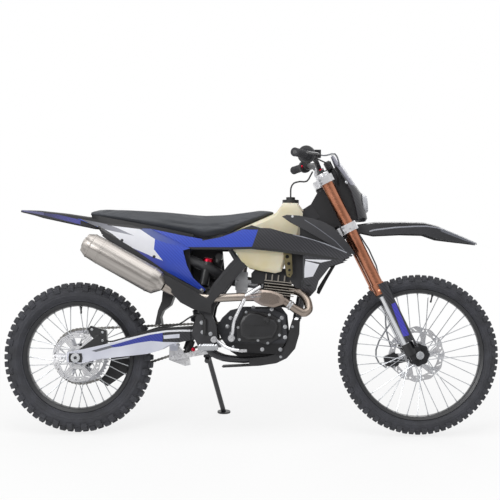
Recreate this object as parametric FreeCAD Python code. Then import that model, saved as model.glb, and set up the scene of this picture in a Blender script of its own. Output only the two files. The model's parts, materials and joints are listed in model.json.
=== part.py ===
import FreeCAD, Part
import math
import os

os.makedirs("parts", exist_ok=True)

# Sizes in mm. The bike is drawn upright: X to the front, Y to its left, Z up,
# ground at Z = 0, and is leaned over to its stand only when it is written out.
LEAN = 11.0               # lean to the left on the side stand, degrees
REAR_AXLE_X = -785.0
FRONT_AXLE_X = 696.0
REAR_TYRE_R = 328.5       # over the knobs
FRONT_TYRE_R = 348.5
REAR_TYRE_W = 110.0
FRONT_TYRE_W = 86.0
REAR_RIM_IN, REAR_RIM_OUT, REAR_RIM_W = 222.0, 242.0, 68.0
FRONT_RIM_IN, FRONT_RIM_OUT, FRONT_RIM_W = 266.0, 284.0, 54.0
SPOKES = 36
SPOKE_R = 2.1
HEAD_ANGLE = 26.4         # steering axis from the vertical, degrees
HEAD_X, HEAD_Z = 286.0, 1050.0    # point on the steering axis
FORK_OFFSET = 28.0
FORK_HALF = 101.0         # half distance between the fork legs
FORK_TUBE_R = 25.5
FORK_ROD_R = 21.0
STEM_R = 16.0
HEAD_TUBE_R = 26.0
BAR_HALF = 400.0
BAR_R = 11.1
DISC_F_R, DISC_R_R = 123.5, 110.0
DISC_T = 4.0
SPROCKET_R = 121.0        # 48 teeth, 15.875 mm pitch
FRONT_SPROCKET_R = 33.0
CHAIN_Y = 71.0
PIVOT_X, PIVOT_Z = -228.0, 440.0
PIPE_R = 18.0
STAND_PIVOT = (-226.0, 130.0, 336.0)
STAND_FOOT_X, STAND_FOOT_Y = -163.0, 345.0
RAIL_R = 11.0
SEAT_GAP = 0.3
BEARING_GAP = 0.3
STEER_LIMIT = 40.0
FRONT_LUGS, REAR_LUGS = 38, 30    # shoulder lugs round a tyre, with as many tread blocks
FRONT_LUG_H, REAR_LUG_H = 12.5, 16.0
SPOKE_GAP = 0.1
STAND_SWING = 100.0        # from the ground to folded back, degrees

V = FreeCAD.Vector
YAX = V(0, 1, 0)
ORIGIN = V(0, 0, 0)


def box(x0, x1, y0, y1, z0, z1):
    return Part.makeBox(x1 - x0, y1 - y0, z1 - z0, V(x0, y0, z0))


def solid_of(faces):
    shell = Part.makeShell(faces)
    shell.sewShape()
    out = Part.makeSolid(shell)
    if out.Volume < 0:
        out.reverse()
    return out


def skin(rows):
    """A solid between closed rows of points; each face is flat."""
    faces = []
    n = len(rows[0])
    for low, high in zip(rows, rows[1:]):
        for i in range(n):
            k = (i + 1) % n
            a, b, c, d = low[i], low[k], high[k], high[i]
            if abs((b - a).cross(c - a).normalize().dot(d - a)) < 1e-5:
                faces.append(Part.Face(Part.makePolygon([a, b, c, d, a])))
            else:
                faces.append(Part.Face(Part.makePolygon([a, b, c, a])))
                faces.append(Part.Face(Part.makePolygon([a, c, d, a])))
    for row in (rows[0], rows[-1]):
        faces.append(Part.Face(Part.makePolygon(row + [row[0]])))
    return solid_of(faces)


def circle(c, d, r, sides):
    """Corners of a many-sided ring about the direction d."""
    u = d.cross(V(0.12, 0.2, 1)).normalize()
    v = d.cross(u).normalize()
    return [c + u * (r * math.cos(2 * math.pi * k / sides)) + v * (r * math.sin(2 * math.pi * k / sides))
            for k in range(sides)]


def rod(p, q, r, r2=None):
    p, q = V(*p), V(*q)
    d = (q - p).normalize()
    sides = 12 if max(r, r2 or 0) < 12 else 16 if r < 30 else 24
    return skin([circle(p, d, r, sides), circle(q, d, r if r2 is None else r2, sides)])


def across(x, z, y0, y1, r):
    return rod((x, y0, z), (x, y1, z), r)


def wire_xz(points, y):
    return Part.makePolygon([V(x, y, z) for x, z in points] + [V(points[0][0], y, points[0][1])])


def plate(points, y0, y1):
    """A flat plate with straight edges, cut from the XZ plane."""
    return Part.Face(wire_xz(points, y0)).extrude(V(0, y1 - y0, 0))


def rounded_path(points, closed=False, largest=None):
    """Straight runs joined by tangent arcs; an arc is as large as its runs allow."""
    n = len(points)
    stops = []
    for i, b in enumerate(points):
        if not closed and i in (0, n - 1):
            stops.append((b, None, b))
            continue
        u, v = points[i - 1] - b, points[(i + 1) % n] - b
        room = 0.45 * min(u.Length, v.Length)
        u.normalize()
        v.normalize()
        turn = math.pi - u.getAngle(v)
        if turn < 0.02:
            stops.append((b, None, b))
            continue
        if largest:
            room = min(room, largest * math.tan(turn / 2))
        r = room / math.tan(turn / 2)
        mid = b + (u + v).normalize() * (r / math.cos(turn / 2) - r)
        stops.append((b + u * room, mid, b + v * room))
    edges = []
    for i, (start, mid, end) in enumerate(stops):
        if mid is not None:
            edges.append(Part.Arc(start, mid, end).toShape())
        if i + 1 < n or closed:
            edges.append(Part.makeLine(end, stops[(i + 1) % n][0]))
    return Part.Wire(edges)


def rounded_plate(points, y0, y1, largest=None):
    path = rounded_path([V(x, y0, z) for x, z in points], True, largest)
    return Part.Face(path).extrude(V(0, y1 - y0, 0))


def shrunk(points, y, k=1.0):
    """The outline at y, drawn in towards its middle by the share k."""
    cx = sum(p[0] for p in points) / len(points)
    cz = sum(p[1] for p in points) / len(points)
    return [V(cx + (px - cx) * k, y, cz + (pz - cz) * k) for px, pz in points]


def mirror(shape):
    return shape.mirror(ORIGIN, YAX)


def pair(shape):
    """The same solid on both sides of the bike."""
    return Part.makeCompound([shape, mirror(shape)])


def fuse(first, *others):
    return first.fuse(list(others)).removeSplitter()


def soften(shape, r, test):
    """Rounds the edges that the test picks."""
    edges = [e for e in shape.Edges if test(e)]
    for radius in (r, r * 0.5):
        try:
            out = shape.makeFillet(radius, edges)
            if out.isValid() and out.Volume > 0:
                return out
        except Exception:
            pass
    return shape


def bends(points, steps=2):
    """The path with each corner swung round on an arc of a few short runs."""
    pts = [V(*p) for p in points]
    out = [pts[0]]
    for a, b, c in zip(pts, pts[1:], pts[2:]):
        u, v = a - b, c - b
        room = 0.42 * min(u.Length, v.Length)
        u.normalize()
        v.normalize()
        start, end = b + u * room, b + v * room
        if math.pi - u.getAngle(v) < 0.3:
            out.append(b)
            continue
        for k in range(steps + 1):
            t = k / steps
            out.append(start * (1 - t) ** 2 + b * (2 * t * (1 - t)) + end * t ** 2)
    return out + [pts[-1]]


def pipe(points, r, sides=12, steps=2):
    """A bar or tube bent through the points, mitred at each short run."""
    pts = bends(points, steps)
    rows = [circle(pts[0], (pts[1] - pts[0]).normalize(), r, sides)]
    for i in range(1, len(pts)):
        d = (pts[i] - pts[i - 1]).normalize()
        ahead = (pts[i + 1] - pts[i]).normalize() if i + 1 < len(pts) else d
        normal = d + ahead
        rows.append([c + d * ((pts[i] - c).dot(normal) / d.dot(normal)) for c in rows[-1]])
    return skin(rows)


def ring(profile, x, z, sides=48):
    """Carries a closed (radius, y) outline round a cross axis at x, z, in flats."""
    rows = []
    for i in range(sides):
        a = 2 * math.pi * (i - 0.5) / sides - math.pi / 2
        rows.append([V(x + r * math.cos(a), y, z + r * math.sin(a)) for r, y in profile])
    faces = []
    for i, row in enumerate(rows):
        ahead = rows[(i + 1) % sides]
        for j in range(len(profile)):
            k = (j + 1) % len(profile)
            faces.append(Part.Face(Part.makePolygon([row[j], row[k], ahead[k], ahead[j], row[j]])))
    return solid_of(faces)


def both_sides(half):
    """Adds the mirrored half to a (radius, y) outline given from y < 0 outwards."""
    return half + [(r, -y) for r, y in reversed(half)]


def around(shape, n, x, z, step=None):
    step = step or 360.0 / n
    out = []
    for i in range(n):
        s = shape.copy()
        s.rotate(V(x, 0, z), YAX, step * i)
        out.append(s)
    return out


def section(x, w, h, z, corner=0.45):
    """A box cross section with cut corners at x: half width w, half height h."""
    c, d = w * (1 - 0.35 * corner), h * (1 - corner)
    e, f = w * (1 - corner), h * (1 - 0.25 * corner)
    quarter = [(w, d * 0.6), (c, f), (e, h)]
    pts = quarter + [(-y, q) for y, q in quarter[::-1]] + [(-y, -q) for y, q in quarter]
    pts += [(y, -q) for y, q in quarter[::-1]]
    return [V(x, y, z + q) for y, q in pts]


# The steering axis and the frame of the fork

TILT = math.radians(HEAD_ANGLE)
DOWN = V(math.sin(TILT), 0, -math.cos(TILT))     # down along the fork
AHEAD = V(math.cos(TILT), 0, math.sin(TILT))     # square to it, to the front


def fork_point(drop, ahead=0.0, y=0.0):
    """A point `drop` below the head point along the axis and `ahead` of it."""
    p = V(HEAD_X, 0, HEAD_Z) + DOWN * drop + AHEAD * ahead
    return (p.x, y, p.z)


def fork_block(drop0, drop1, ahead0, ahead1, y0, y1):
    """A block whose sides follow the steering axis."""
    corners = ((drop0, ahead0), (drop0, ahead1), (drop1, ahead1), (drop1, ahead0))
    pts = [fork_point(d, a, y0) for d, a in corners]
    return plate([(p[0], p[2]) for p in pts], y0, y1)


def flat(points):
    return Part.Face(Part.makePolygon(points + [points[0]]))


def knobbly(R, W, rim_out, rim_w, lugs, height, x, z):
    """A tyre on whose casing tread blocks and pairs of shoulder lugs take turns."""
    h, d = W / 2, R - rim_out
    wall = [(rim_out, 5 - rim_w / 2), (rim_out + 0.22 * d, -0.84 * h), (rim_out + 0.5 * d, -0.96 * h)]
    foot = [(R - height, -0.56 * h)]
    lug = [(rim_out + 0.74 * d, -h), (R - 0.10 * d, -0.72 * h)]
    block = [(R - 0.03 * d, -0.50 * h), (R, -0.32 * h)]
    profiles = (both_sides(wall + foot + block), both_sides(wall + lug + foot))
    right = wall[-1:] + lug + foot
    steps = (both_sides(foot + block), right, [(r, -y) for r, y in right])

    def on(i, r, y):
        a = math.pi * (i - 0.5) / lugs - math.pi / 2
        return V(x + r * math.cos(a), y, z + r * math.sin(a))
    faces = []
    for i in range(2 * lugs):
        profile = profiles[i % 2]
        for (r0, y0), (r1, y1) in zip(profile, profile[1:] + profile[:1]):
            faces.append(flat([on(i, r0, y0), on(i, r1, y1), on(i + 1, r1, y1), on(i + 1, r0, y0)]))
        faces += [flat([on(i, r, y) for r, y in step]) for step in steps]
    return solid_of(faces)


def lowest(shape):
    """Height of the lowest point over the leaned ground."""
    s, c = math.sin(math.radians(LEAN)), math.cos(math.radians(LEAN))
    return min(c * p.z - s * p.y for p in shape.tessellate(0.5)[0])


def tyre_at(R, W, rim_out, rim_w, lugs, height, x):
    """The tyre, raised so that it just touches the leaned ground."""
    out = knobbly(R, W, rim_out, rim_w, lugs, height, x, 0.0)
    z = -lowest(out) / math.cos(math.radians(LEAN))
    out.translate(V(0, 0, z))
    return out, z


FRONT_TYRE, FRONT_AXLE_Z = tyre_at(FRONT_TYRE_R, FRONT_TYRE_W, FRONT_RIM_OUT, FRONT_RIM_W, FRONT_LUGS,
                                   FRONT_LUG_H, FRONT_AXLE_X)
REAR_TYRE, REAR_AXLE_Z = tyre_at(REAR_TYRE_R, REAR_TYRE_W, REAR_RIM_OUT, REAR_RIM_W, REAR_LUGS,
                                 REAR_LUG_H, REAR_AXLE_X)


def rim(inner, outer, w, x, z, sides):
    return ring(both_sides([(inner, -0.2 * w), (inner + 5, -0.38 * w), (outer, -0.5 * w)]), x, z, sides)


def spokes(rim_in, rim_w, hub_r, flange_y, x, z, sides):
    """Crossed wire spokes from both hub flanges to the rim, their ends laid on both."""
    out = []
    step = 360.0 / SPOKES
    rim_face = rim_in * math.cos(math.pi / sides) - SPOKE_GAP
    for i in range(SPOKES):
        side = 1 if i % 2 else -1
        lean = 34 if (i // 2) % 2 else -34
        a, b = math.radians(step * i), math.radians(step * i + lean)
        out_a, out_b = V(math.cos(a), 0, math.sin(a)), V(math.cos(b), 0, math.sin(b))
        p = V(x, side * flange_y, z) + out_b * (hub_r + 0.15)
        q = V(x, side * 0.1 * rim_w, z) + out_a * rim_face
        d = (q - p).normalize()
        u = d.cross(YAX).normalize()
        v = d.cross(u)
        ends = []
        for base, normal in ((p, out_b), (q, out_a)):
            pts = []
            for k in range(5):
                turn = 2 * math.pi * k / 5
                o = u * (SPOKE_R * math.cos(turn)) + v * (SPOKE_R * math.sin(turn))
                pts.append(base + o - d * (o.dot(normal) / d.dot(normal)))
            ends.append(pts)
        out.append(skin(ends))
    return Part.makeCompound(out)


def wheel(prefix, tyre, rim_in, rim_out, rim_w, hub_r, flange_y, ends, x, z, bore, sides):
    half = [(bore + 9, -flange_y - 4), (hub_r, -flange_y - 4), (hub_r, -flange_y + 4),
            (hub_r - 16, -flange_y + 9)]
    tube_ends = [[(bore, ends[0]), (bore + 9, ends[0])], [(bore + 9, ends[1]), (bore, ends[1])]]
    hub = ring(tube_ends[0] + both_sides(half) + tube_ends[1], x, z, 24)
    return {prefix + "_tyre": tyre, prefix + "_rim": rim(rim_in, rim_out, rim_w, x, z, sides),
            prefix + "_hub": hub, prefix + "_spokes": spokes(rim_in, rim_w, hub_r, flange_y, x, z, sides)}


def brake_disc(R, x, z, y0, hub_r, arms):
    """A steel disc with slots, on a carrier with arms."""
    band = 0.23 * R
    disc = ring([(R - band, y0), (R, y0), (R, y0 + DISC_T), (R - band, y0 + DISC_T)], x, z, 40)
    slot = plate([(x + R - 0.76 * band, z - 4), (x + R - 0.70 * band, z + 4), (x + R - 0.22 * band, z + 8),
                  (x + R - 0.28 * band, z)], y0 - 1, y0 + DISC_T + 1)
    disc = disc.cut(Part.makeCompound(around(slot, 3 * arms, x, z)))
    inner = ring([(hub_r - 10, y0), (hub_r + 9, y0), (hub_r + 9, y0 + DISC_T), (hub_r - 10, y0 + DISC_T)],
                 x, z, 24)
    arm = plate([(x + hub_r, z - 9), (x + R - band + 2, z - 5), (x + R - band + 2, z + 7),
                 (x + hub_r, z + 9)], y0, y0 + DISC_T)
    return fuse(disc, inner, *around(arm, arms, x, z))


# Wheels

F_AXLE_R, R_AXLE_R = 10.0, 12.0
F_AXLE_HOLE_R, R_AXLE_HOLE_R = 6.0, 7.0
AXLE_PLAY = 0.6
F_HUB, F_FLANGE, F_ENDS = 39.0, 30.0, (-63.5, 63.5)
R_HUB, R_FLANGE, R_ENDS = 45.0, 38.0, (-69.6, 83.5)
F_BORE, R_BORE = F_AXLE_R + AXLE_PLAY, R_AXLE_R + AXLE_PLAY
DISC_F_Y = 47.0
DISC_R_Y = -56.0
SPROCKET_Y = CHAIN_Y - 3.0


def carrier(bore, r, y0, y1, x, z):
    """The seat on a hub that a disc or sprocket is bolted to."""
    return ring([(bore + 9, y0), (r, y0), (r, y1), (bore + 9, y1)], x, z, 24)


def front_wheel():
    x, z = FRONT_AXLE_X, FRONT_AXLE_Z
    nodes = wheel("front", FRONT_TYRE, FRONT_RIM_IN, FRONT_RIM_OUT, FRONT_RIM_W, F_HUB, F_FLANGE,
                  F_ENDS, x, z, F_BORE, 2 * FRONT_LUGS)
    nodes["front_hub"] = fuse(nodes["front_hub"], carrier(F_BORE, 46, DISC_F_Y - 12, DISC_F_Y, x, z))
    nodes["front_disc"] = brake_disc(DISC_F_R, x, z, DISC_F_Y, 42.0, 6)
    return nodes


def rear_wheel():
    x, z = REAR_AXLE_X, REAR_AXLE_Z
    nodes = wheel("rear", REAR_TYRE, REAR_RIM_IN, REAR_RIM_OUT, REAR_RIM_W, R_HUB, R_FLANGE,
                  R_ENDS, x, z, R_BORE, 2 * REAR_LUGS)
    left = carrier(R_BORE, 56, SPROCKET_Y - 14, SPROCKET_Y, x, z)
    right = carrier(R_BORE, 46, DISC_R_Y + DISC_T, DISC_R_Y + 14, x, z)
    nodes["rear_hub"] = fuse(nodes["rear_hub"], left, right)
    nodes["rear_disc"] = brake_disc(DISC_R_R, x, z, DISC_R_Y, 42.0, 6)
    nodes["rear_sprocket"] = rear_sprocket(x, z)
    return nodes


def rear_sprocket(x, z):
    """48 pointed teeth, a web with six openings."""
    pts = []
    for i in range(48):
        a = 2 * math.pi * i / 48
        for da, r in ((0.0, SPROCKET_R - 6), (0.048, SPROCKET_R + 3), (0.083, SPROCKET_R + 3)):
            pts.append((x + r * math.cos(a + da), z + r * math.sin(a + da)))
    body = plate(pts, SPROCKET_Y, SPROCKET_Y + 6)
    window = plate([(x + 66, z - 20), (x + 97, z - 34), (x + 97, z + 34), (x + 66, z + 20)],
                   SPROCKET_Y - 1, SPROCKET_Y + 7)
    body = body.cut(across(x, z, SPROCKET_Y - 1, SPROCKET_Y + 7, 38))
    return body.cut(Part.makeCompound(around(window, 6, x, z)))


# Fork, bars and front bodywork: they all turn with the steering

CLAMP_UP = (-62.0, -30.0)         # drop of the upper clamp, top and bottom
CLAMP_LOW = (166.0, 202.0)
TUBE_TOP, TUBE_END = -76.0, 478.0
AXLE_DROP = (HEAD_Z - FRONT_AXLE_Z) * math.cos(TILT) + (FRONT_AXLE_X - HEAD_X) * math.sin(TILT)
AXLE_AHEAD = (FRONT_AXLE_X - HEAD_X) * math.cos(TILT) - (HEAD_Z - FRONT_AXLE_Z) * math.sin(TILT)
ROD_END = AXLE_DROP - 30.0


def upper_clamp():
    body = fork_block(CLAMP_UP[0], CLAMP_UP[1], -24, FORK_OFFSET + 20, -48, 48)
    arms = [fork_block(CLAMP_UP[0], CLAMP_UP[1], FORK_OFFSET - 33, FORK_OFFSET + 33, s * FORK_HALF - 34,
                       s * FORK_HALF + 34) for s in (-1, 1)]
    bridge = fork_block(CLAMP_UP[0], CLAMP_UP[1], FORK_OFFSET - 26, FORK_OFFSET + 14, -FORK_HALF, FORK_HALF)
    out = fuse(body, bridge, *arms)
    out = soften(out, 12, lambda e: is_along(e, DOWN))
    for s in (-1, 1):
        out = out.cut(rod(fork_point(CLAMP_UP[0] - 1, FORK_OFFSET, s * FORK_HALF),
                          fork_point(CLAMP_UP[1] + 1, FORK_OFFSET, s * FORK_HALF), FORK_TUBE_R))
    return out


def is_along(edge, direction):
    if len(edge.Vertexes) != 2:
        return False
    d = edge.Vertexes[1].Point - edge.Vertexes[0].Point
    return d.Length > 1 and d.normalize().cross(direction).Length < 0.02


def lower_clamp():
    arms = [fork_block(CLAMP_LOW[0], CLAMP_LOW[1], FORK_OFFSET - 34, FORK_OFFSET + 34, s * FORK_HALF - 34,
                       s * FORK_HALF + 34) for s in (-1, 1)]
    bridge = fork_block(CLAMP_LOW[0], CLAMP_LOW[1], -26, FORK_OFFSET + 20, -FORK_HALF, FORK_HALF)
    out = soften(fuse(bridge, *arms), 12, lambda e: is_along(e, DOWN))
    for s in (-1, 1):
        out = out.cut(rod(fork_point(CLAMP_LOW[0] - 1, FORK_OFFSET, s * FORK_HALF),
                          fork_point(CLAMP_LOW[1] + 1, FORK_OFFSET, s * FORK_HALF), FORK_TUBE_R))
    stem = rod(fork_point(CLAMP_UP[1]), fork_point(CLAMP_LOW[0] + 8), STEM_R)
    return fuse(out, stem)


def fork_legs():
    """Upper tubes with a flared lip, and the thin rods below them."""
    tubes, rods, feet = [], [], []
    for s in (-1, 1):
        y = s * FORK_HALF
        low = fork_point(TUBE_END, FORK_OFFSET, y)
        tube = rod(fork_point(TUBE_TOP, FORK_OFFSET, y), low, FORK_TUBE_R)
        lip = rod(fork_point(TUBE_END - 26, FORK_OFFSET, y), low, FORK_TUBE_R + 4)
        tubes.append(fuse(tube, lip))
        rods.append(rod(low, fork_point(ROD_END - 40, FORK_OFFSET, y), FORK_ROD_R))
        feet.append(fork_foot(s))
    return {"fork_tubes": Part.makeCompound(tubes), "fork_rods": Part.makeCompound(rods),
            "fork_feet": Part.makeCompound(feet)}


def fork_foot(s):
    """The cast foot that holds the rod and the axle; its inner face clears the disc."""
    y = s * FORK_HALF
    inner = s * 64.0
    ya, yb = sorted((inner, s * (FORK_HALF + 20)))
    body = rod(fork_point(ROD_END - 40, FORK_OFFSET, y), fork_point(ROD_END + 14, FORK_OFFSET, y), FORK_ROD_R + 5)
    knuckle = rod(fork_point(AXLE_DROP, AXLE_AHEAD, ya), fork_point(AXLE_DROP, AXLE_AHEAD, yb), 22)
    web = fork_block(ROD_END - 14, AXLE_DROP + 8, min(FORK_OFFSET - 14, AXLE_AHEAD - 20), AXLE_AHEAD + 14,
                     min(y - 12, y + 12), max(y - 12, y + 12))
    out = fuse(body, knuckle, web)
    hole = rod(fork_point(AXLE_DROP, AXLE_AHEAD, ya - 1), fork_point(AXLE_DROP, AXLE_AHEAD, yb + 1), F_AXLE_R)
    return out.cut(hole)


def true_cylinder(x, z, y0, y1, r):
    return Part.makeCylinder(r, y1 - y0, V(x, y0, z), YAX)


def front_axle():
    x, z = FRONT_AXLE_X, FRONT_AXLE_Z
    body = fuse(across(x, z, -FORK_HALF - 28, FORK_HALF + 20, F_AXLE_R),
                across(x, z, -FORK_HALF - 28, -FORK_HALF - 20, 17))
    return body.cut(true_cylinder(x, z, -FORK_HALF - 40, FORK_HALF + 40, F_AXLE_HOLE_R))


def fork_guards():
    """Curved plastic shields in front of the fork rods."""
    out = []
    for s in (-1, 1):
        ya, yb = sorted((s * (FORK_HALF - 30), s * (FORK_HALF + 33)))
        shell = fork_block(TUBE_END - 20, ROD_END - 8, FORK_OFFSET - 6, FORK_OFFSET + 38, ya, yb)
        shell = soften(shell, 14, lambda e: is_along(e, DOWN))
        cavity = rod(fork_point(TUBE_END - 30, FORK_OFFSET, s * FORK_HALF),
                     fork_point(AXLE_DROP, FORK_OFFSET, s * FORK_HALF), FORK_TUBE_R + 4.3)
        back = fork_block(TUBE_END - 30, ROD_END, FORK_OFFSET - 40, FORK_OFFSET, ya - 5, yb + 5)
        foot = fork_block(ROD_END - 44, ROD_END + 60, FORK_OFFSET - 40, FORK_OFFSET + 31, ya - 5, yb + 5)
        out.append(max(shell.cut(cavity).cut(back).cut(foot).Solids, key=lambda q: q.Volume))
    return Part.makeCompound(out)


def front_caliper():
    """Caliper over the rear edge of the front disc, on the left fork foot."""
    x, z = FRONT_AXLE_X, FRONT_AXLE_Z
    body = plate([(x - 146, z - 12), (x - 138, z - 50), (x - 100, z - 62), (x - 78, z - 46), (x - 82, z - 4),
                  (x - 100, z + 8)], DISC_F_Y - 19, DISC_F_Y + DISC_T + 22)
    slot = across(x, z, DISC_F_Y - 2.5, DISC_F_Y + DISC_T + 2.5, DISC_F_R + 7)
    arm = plate([(x - 92, z + 2), (x - 84, z - 44), (x - 14, z - 26), (x - 14, z + 2)], DISC_F_Y + DISC_T + 8,
                DISC_F_Y + DISC_T + 17)
    arm = arm.cut(across(x, z, 0, 200, 22.3))
    return fuse(body.cut(slot), arm)


def at_bar(y):
    """Centre of the bar end at the side position y."""
    t = (abs(y) - 275.0) / 125.0
    return (200 - 45 * t, y, 1197 - 4 * t)


def handlebar():
    half = [at_bar(-BAR_HALF), at_bar(-275), (226, -205, 1196), (246, -150, 1184), (261, -95, 1156),
            (264, -55, 1143), (264, 0, 1142)]
    return pipe(half + [(x, -y, z) for x, y, z in reversed(half[:-1])], BAR_R)


def risers():
    out = []
    for y in (-42, 42):
        foot = fork_point(CLAMP_UP[0], FORK_OFFSET * 0.4, y)
        out.append(fuse(rod(foot, (264, y, 1142), 15), across(264, 1142, y - 14, y + 14, 21)))
    return Part.makeCompound(out)


def grips():
    out = []
    for s in (-1, 1):
        sleeve = rod(at_bar(s * 273), at_bar(s * (BAR_HALF - 1)), 17)
        flange = rod(at_bar(s * 270), at_bar(s * 274), 26)
        out.append(fuse(sleeve, flange))
    return Part.makeCompound(out)


def levers():
    """Brake lever with its cylinder on the right, clutch lever on the left."""
    out = []
    for s in (-1, 1):
        x, y, z = at_bar(s * 232)
        clamp = rod((x, y - 11, z), (x, y + 11, z), 19)
        perch = fuse(clamp, box(x + 4, x + 46, y - 11, y + 11, z - 9, z + 11))
        lever = pipe([(x + 38, s * 236, z), (x + 42, s * 290, z - 2), (x + 6, s * 350, z - 4),
                      (x - 8, s * 392, z - 5)], 5.5, 8)
        out.append(fuse(perch, lever))
    x, y, z = at_bar(-232)
    tank = box(x + 18, x + 52, y + 11, y + 60, z - 8, z + 24)
    out[0] = fuse(out[0], tank, rod(at_bar(-242), at_bar(-267), 20))
    out[1] = fuse(out[1], rod(at_bar(242), at_bar(262), 16))
    return Part.makeCompound(out)


def bar_cables():
    """Throttle and clutch cables, from the bars down behind the mask."""
    out = []
    for s, start in ((-1, (222, -255, 1190)), (1, (240, 224, 1196))):
        out.append(pipe([start, (262, s * 224, 1178), (300, s * 175, 1166), (338, s * 110, 1140),
                         (347, s * 60, 1090), (358, s * 30, 1040), (410, s * 12, 1003)], 3.2, 8))
    return Part.makeCompound(out)


def arch(x, top, edge, w, t=4.0):
    """A thin arched cross section of a mudguard at x."""
    pts = [(-w, edge), (-0.93 * w, top - 7), (-0.55 * w, top - 1), (0, top), (0.55 * w, top - 1),
           (0.93 * w, top - 7), (w, edge)]
    inner = [(y * (w - t) / w, z - t if abs(y) < w else z) for y, z in reversed(pts)]
    return [V(x, y, z) for y, z in pts + inner]


def front_fender():
    stations = [(424, 916, 884, 52), (504, 928, 868, 66), (620, 929, 874, 70), (718, 927, 872, 70),
                (775, 913, 852, 66), (870, 874, 840, 56), (950, 840, 833, 36)]
    seat_block = fork_block(CLAMP_LOW[1], CLAMP_LOW[1] + 16, -8, FORK_OFFSET + 96, -30, 30)
    return fuse(skin([arch(*s) for s in stations]), seat_block)


def mask_section(x, z, w, depth, t):
    outer, inner = [], []
    for k in range(9):
        a = -1 + k / 4.0
        y = w * math.sin(a * math.pi / 2.6) / math.sin(math.pi / 2.6)
        back = depth * (1 - math.cos(a * math.pi / 2.6)) / (1 - math.cos(math.pi / 2.6))
        outer.append(V(x - back, y, z))
        inner.append(V(x - back - t, y * (w - t) / w, z))
    return outer + inner[::-1]


def headlight_mask():
    stations = [(334, 1218, 36, 14), (366, 1176, 66, 28), (400, 1127, 88, 38), (449, 1054, 98, 46),
                (466, 995, 92, 46), (476, 944, 74, 44), (468, 931, 62, 40)]
    return skin([mask_section(x, z, w, d, 4.5) for x, z, w, d in stations])


def headlight():
    """Lamp body behind the mask and its clear front."""
    bowl = rod((405, 0, 1000), (455, 0, 1006), 44, 52)
    lens = rod((455, 0, 1006), (476, 0, 1008), 50, 34)
    return bowl, lens


def front_brake_hose():
    x, y, z = at_bar(-232)
    top = [(x + 46, -196, z + 4), (290, -150, 1204), (332, -110, 1222), (350, -70, 1185), (352, -30, 1100),
           (372, 20, 1000), (430, 70, 900)]
    low = [(487, 72, 812), (520, 70, 740), (560, 66, 560), (562, 63, 450), (592, 62, FRONT_AXLE_Z + 8)]
    return pipe(top + low, 3.5, 8)


def build_steering():
    nodes = {"handlebar": handlebar(), "upper_clamp": fuse(upper_clamp(), risers())}
    nodes["lower_clamp"] = lower_clamp()
    nodes.update(fork_legs())
    nodes["bar_grips"] = grips()
    nodes["control_levers"] = levers()
    nodes["front_axle"] = front_axle()
    nodes["fork_guards"] = fork_guards()
    nodes["front_caliper"] = front_caliper()
    bowl, lens = headlight()
    nodes["headlight_lens"] = lens
    nodes["headlight_mask"] = fuse(headlight_mask(), bowl)
    nodes["front_fender"] = front_fender()
    nodes["front_brake_hose"] = front_brake_hose()
    nodes["bar_cables"] = bar_cables()
    return nodes


# Frame and running gear


def beam(stations):
    """A flat-sided spar through stations (x, y, z, slope, half width, half thickness)."""
    wires = []
    for x, y, z, slope, w, t in stations:
        a = math.radians(slope)
        n = V(-math.sin(a), 0, math.cos(a))
        c = V(x, y, z)
        wires.append([c + n * w + V(0, t, 0), c + n * w - V(0, t, 0), c - n * w - V(0, t, 0),
                      c - n * w + V(0, t, 0)])
    return skin(wires)


def frame():
    """Head tube, two spars down to the pivot plates, down tube and lower cradle."""
    head = rod(fork_point(CLAMP_UP[1] + BEARING_GAP), fork_point(CLAMP_LOW[0] - BEARING_GAP), HEAD_TUBE_R)
    down = pipe([fork_point(96, -14), (224, 0, 800), (192, 0, 620), (170, 0, 505)], 19)
    parts = [head, down]
    cross = across(168, 500, -46, 46, 17)
    parts.append(cross)
    for s in (-1, 1):
        spar = beam([(262, s * 16, 985, 33, 34, 10), (110, s * 50, 890, 34, 30, 11), (-35, s * 60, 790, 40, 30, 11),
                     (-105, s * 72, 717, 50, 30, 12), (-165, s * 92, 640, 56, 30, 12),
                     (-212, s * 106, 565, 66, 30, 12), (-228, s * 110, 500, 80, 32, 12)])
        hip = plate([(-262, 520), (-196, 520), (-176, 470), (-172, 400), (-196, 384), (-256, 386), (-282, 440)],
                    *sorted((s * 98, s * 122)))
        rail = pipe([(168, s * 44, 500), (152, s * 54, 430), (118, s * 58, 366), (56, s * 58, 333),
                     (-60, s * 60, 324), (-150, s * 72, 330), (-205, s * 96, 356), (-222, s * 106, 398)], 13)
        parts += [spar, hip, rail]
    parts.append(across(-228, 500, -100, 100, 14))
    parts.append(across(-60, 760, -60, 60, 14))
    parts.append(box(-244, -206, 98, 109, 330, 392))
    out = fuse(*parts)
    return out.cut(rod(fork_point(CLAMP_UP[1]), fork_point(CLAMP_LOW[0]), STEM_R + 1.5))


def subframe():
    parts = []
    for s in (-1, 1):
        parts.append(pipe([(-226, s * 106, 556), (-300, s * 104, 607), (-400, s * 100, 662), (-560, s * 84, 778),
                           (-672, s * 70, 868)], 11))
        rail = [(x, s * y, under_seat(x) - RAIL_R - SEAT_GAP) for x, y in ((-150, 64), (-230, 64), (-400, 68))]
        parts.append(pipe([(-84, s * 66, 742)] + rail + [(-480, s * 70, 885), (-690, s * 70, 911)], RAIL_R))
    parts.append(across(-300, under_seat(-300) - RAIL_R - SEAT_GAP, -66, 66, 9))
    parts.append(across(-672, 905, -70, 70, 9))
    parts += [rod((-672, y, 868), (-676, y, 908), RAIL_R) for y in (-70, 70)]
    return fuse(*parts)


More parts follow.
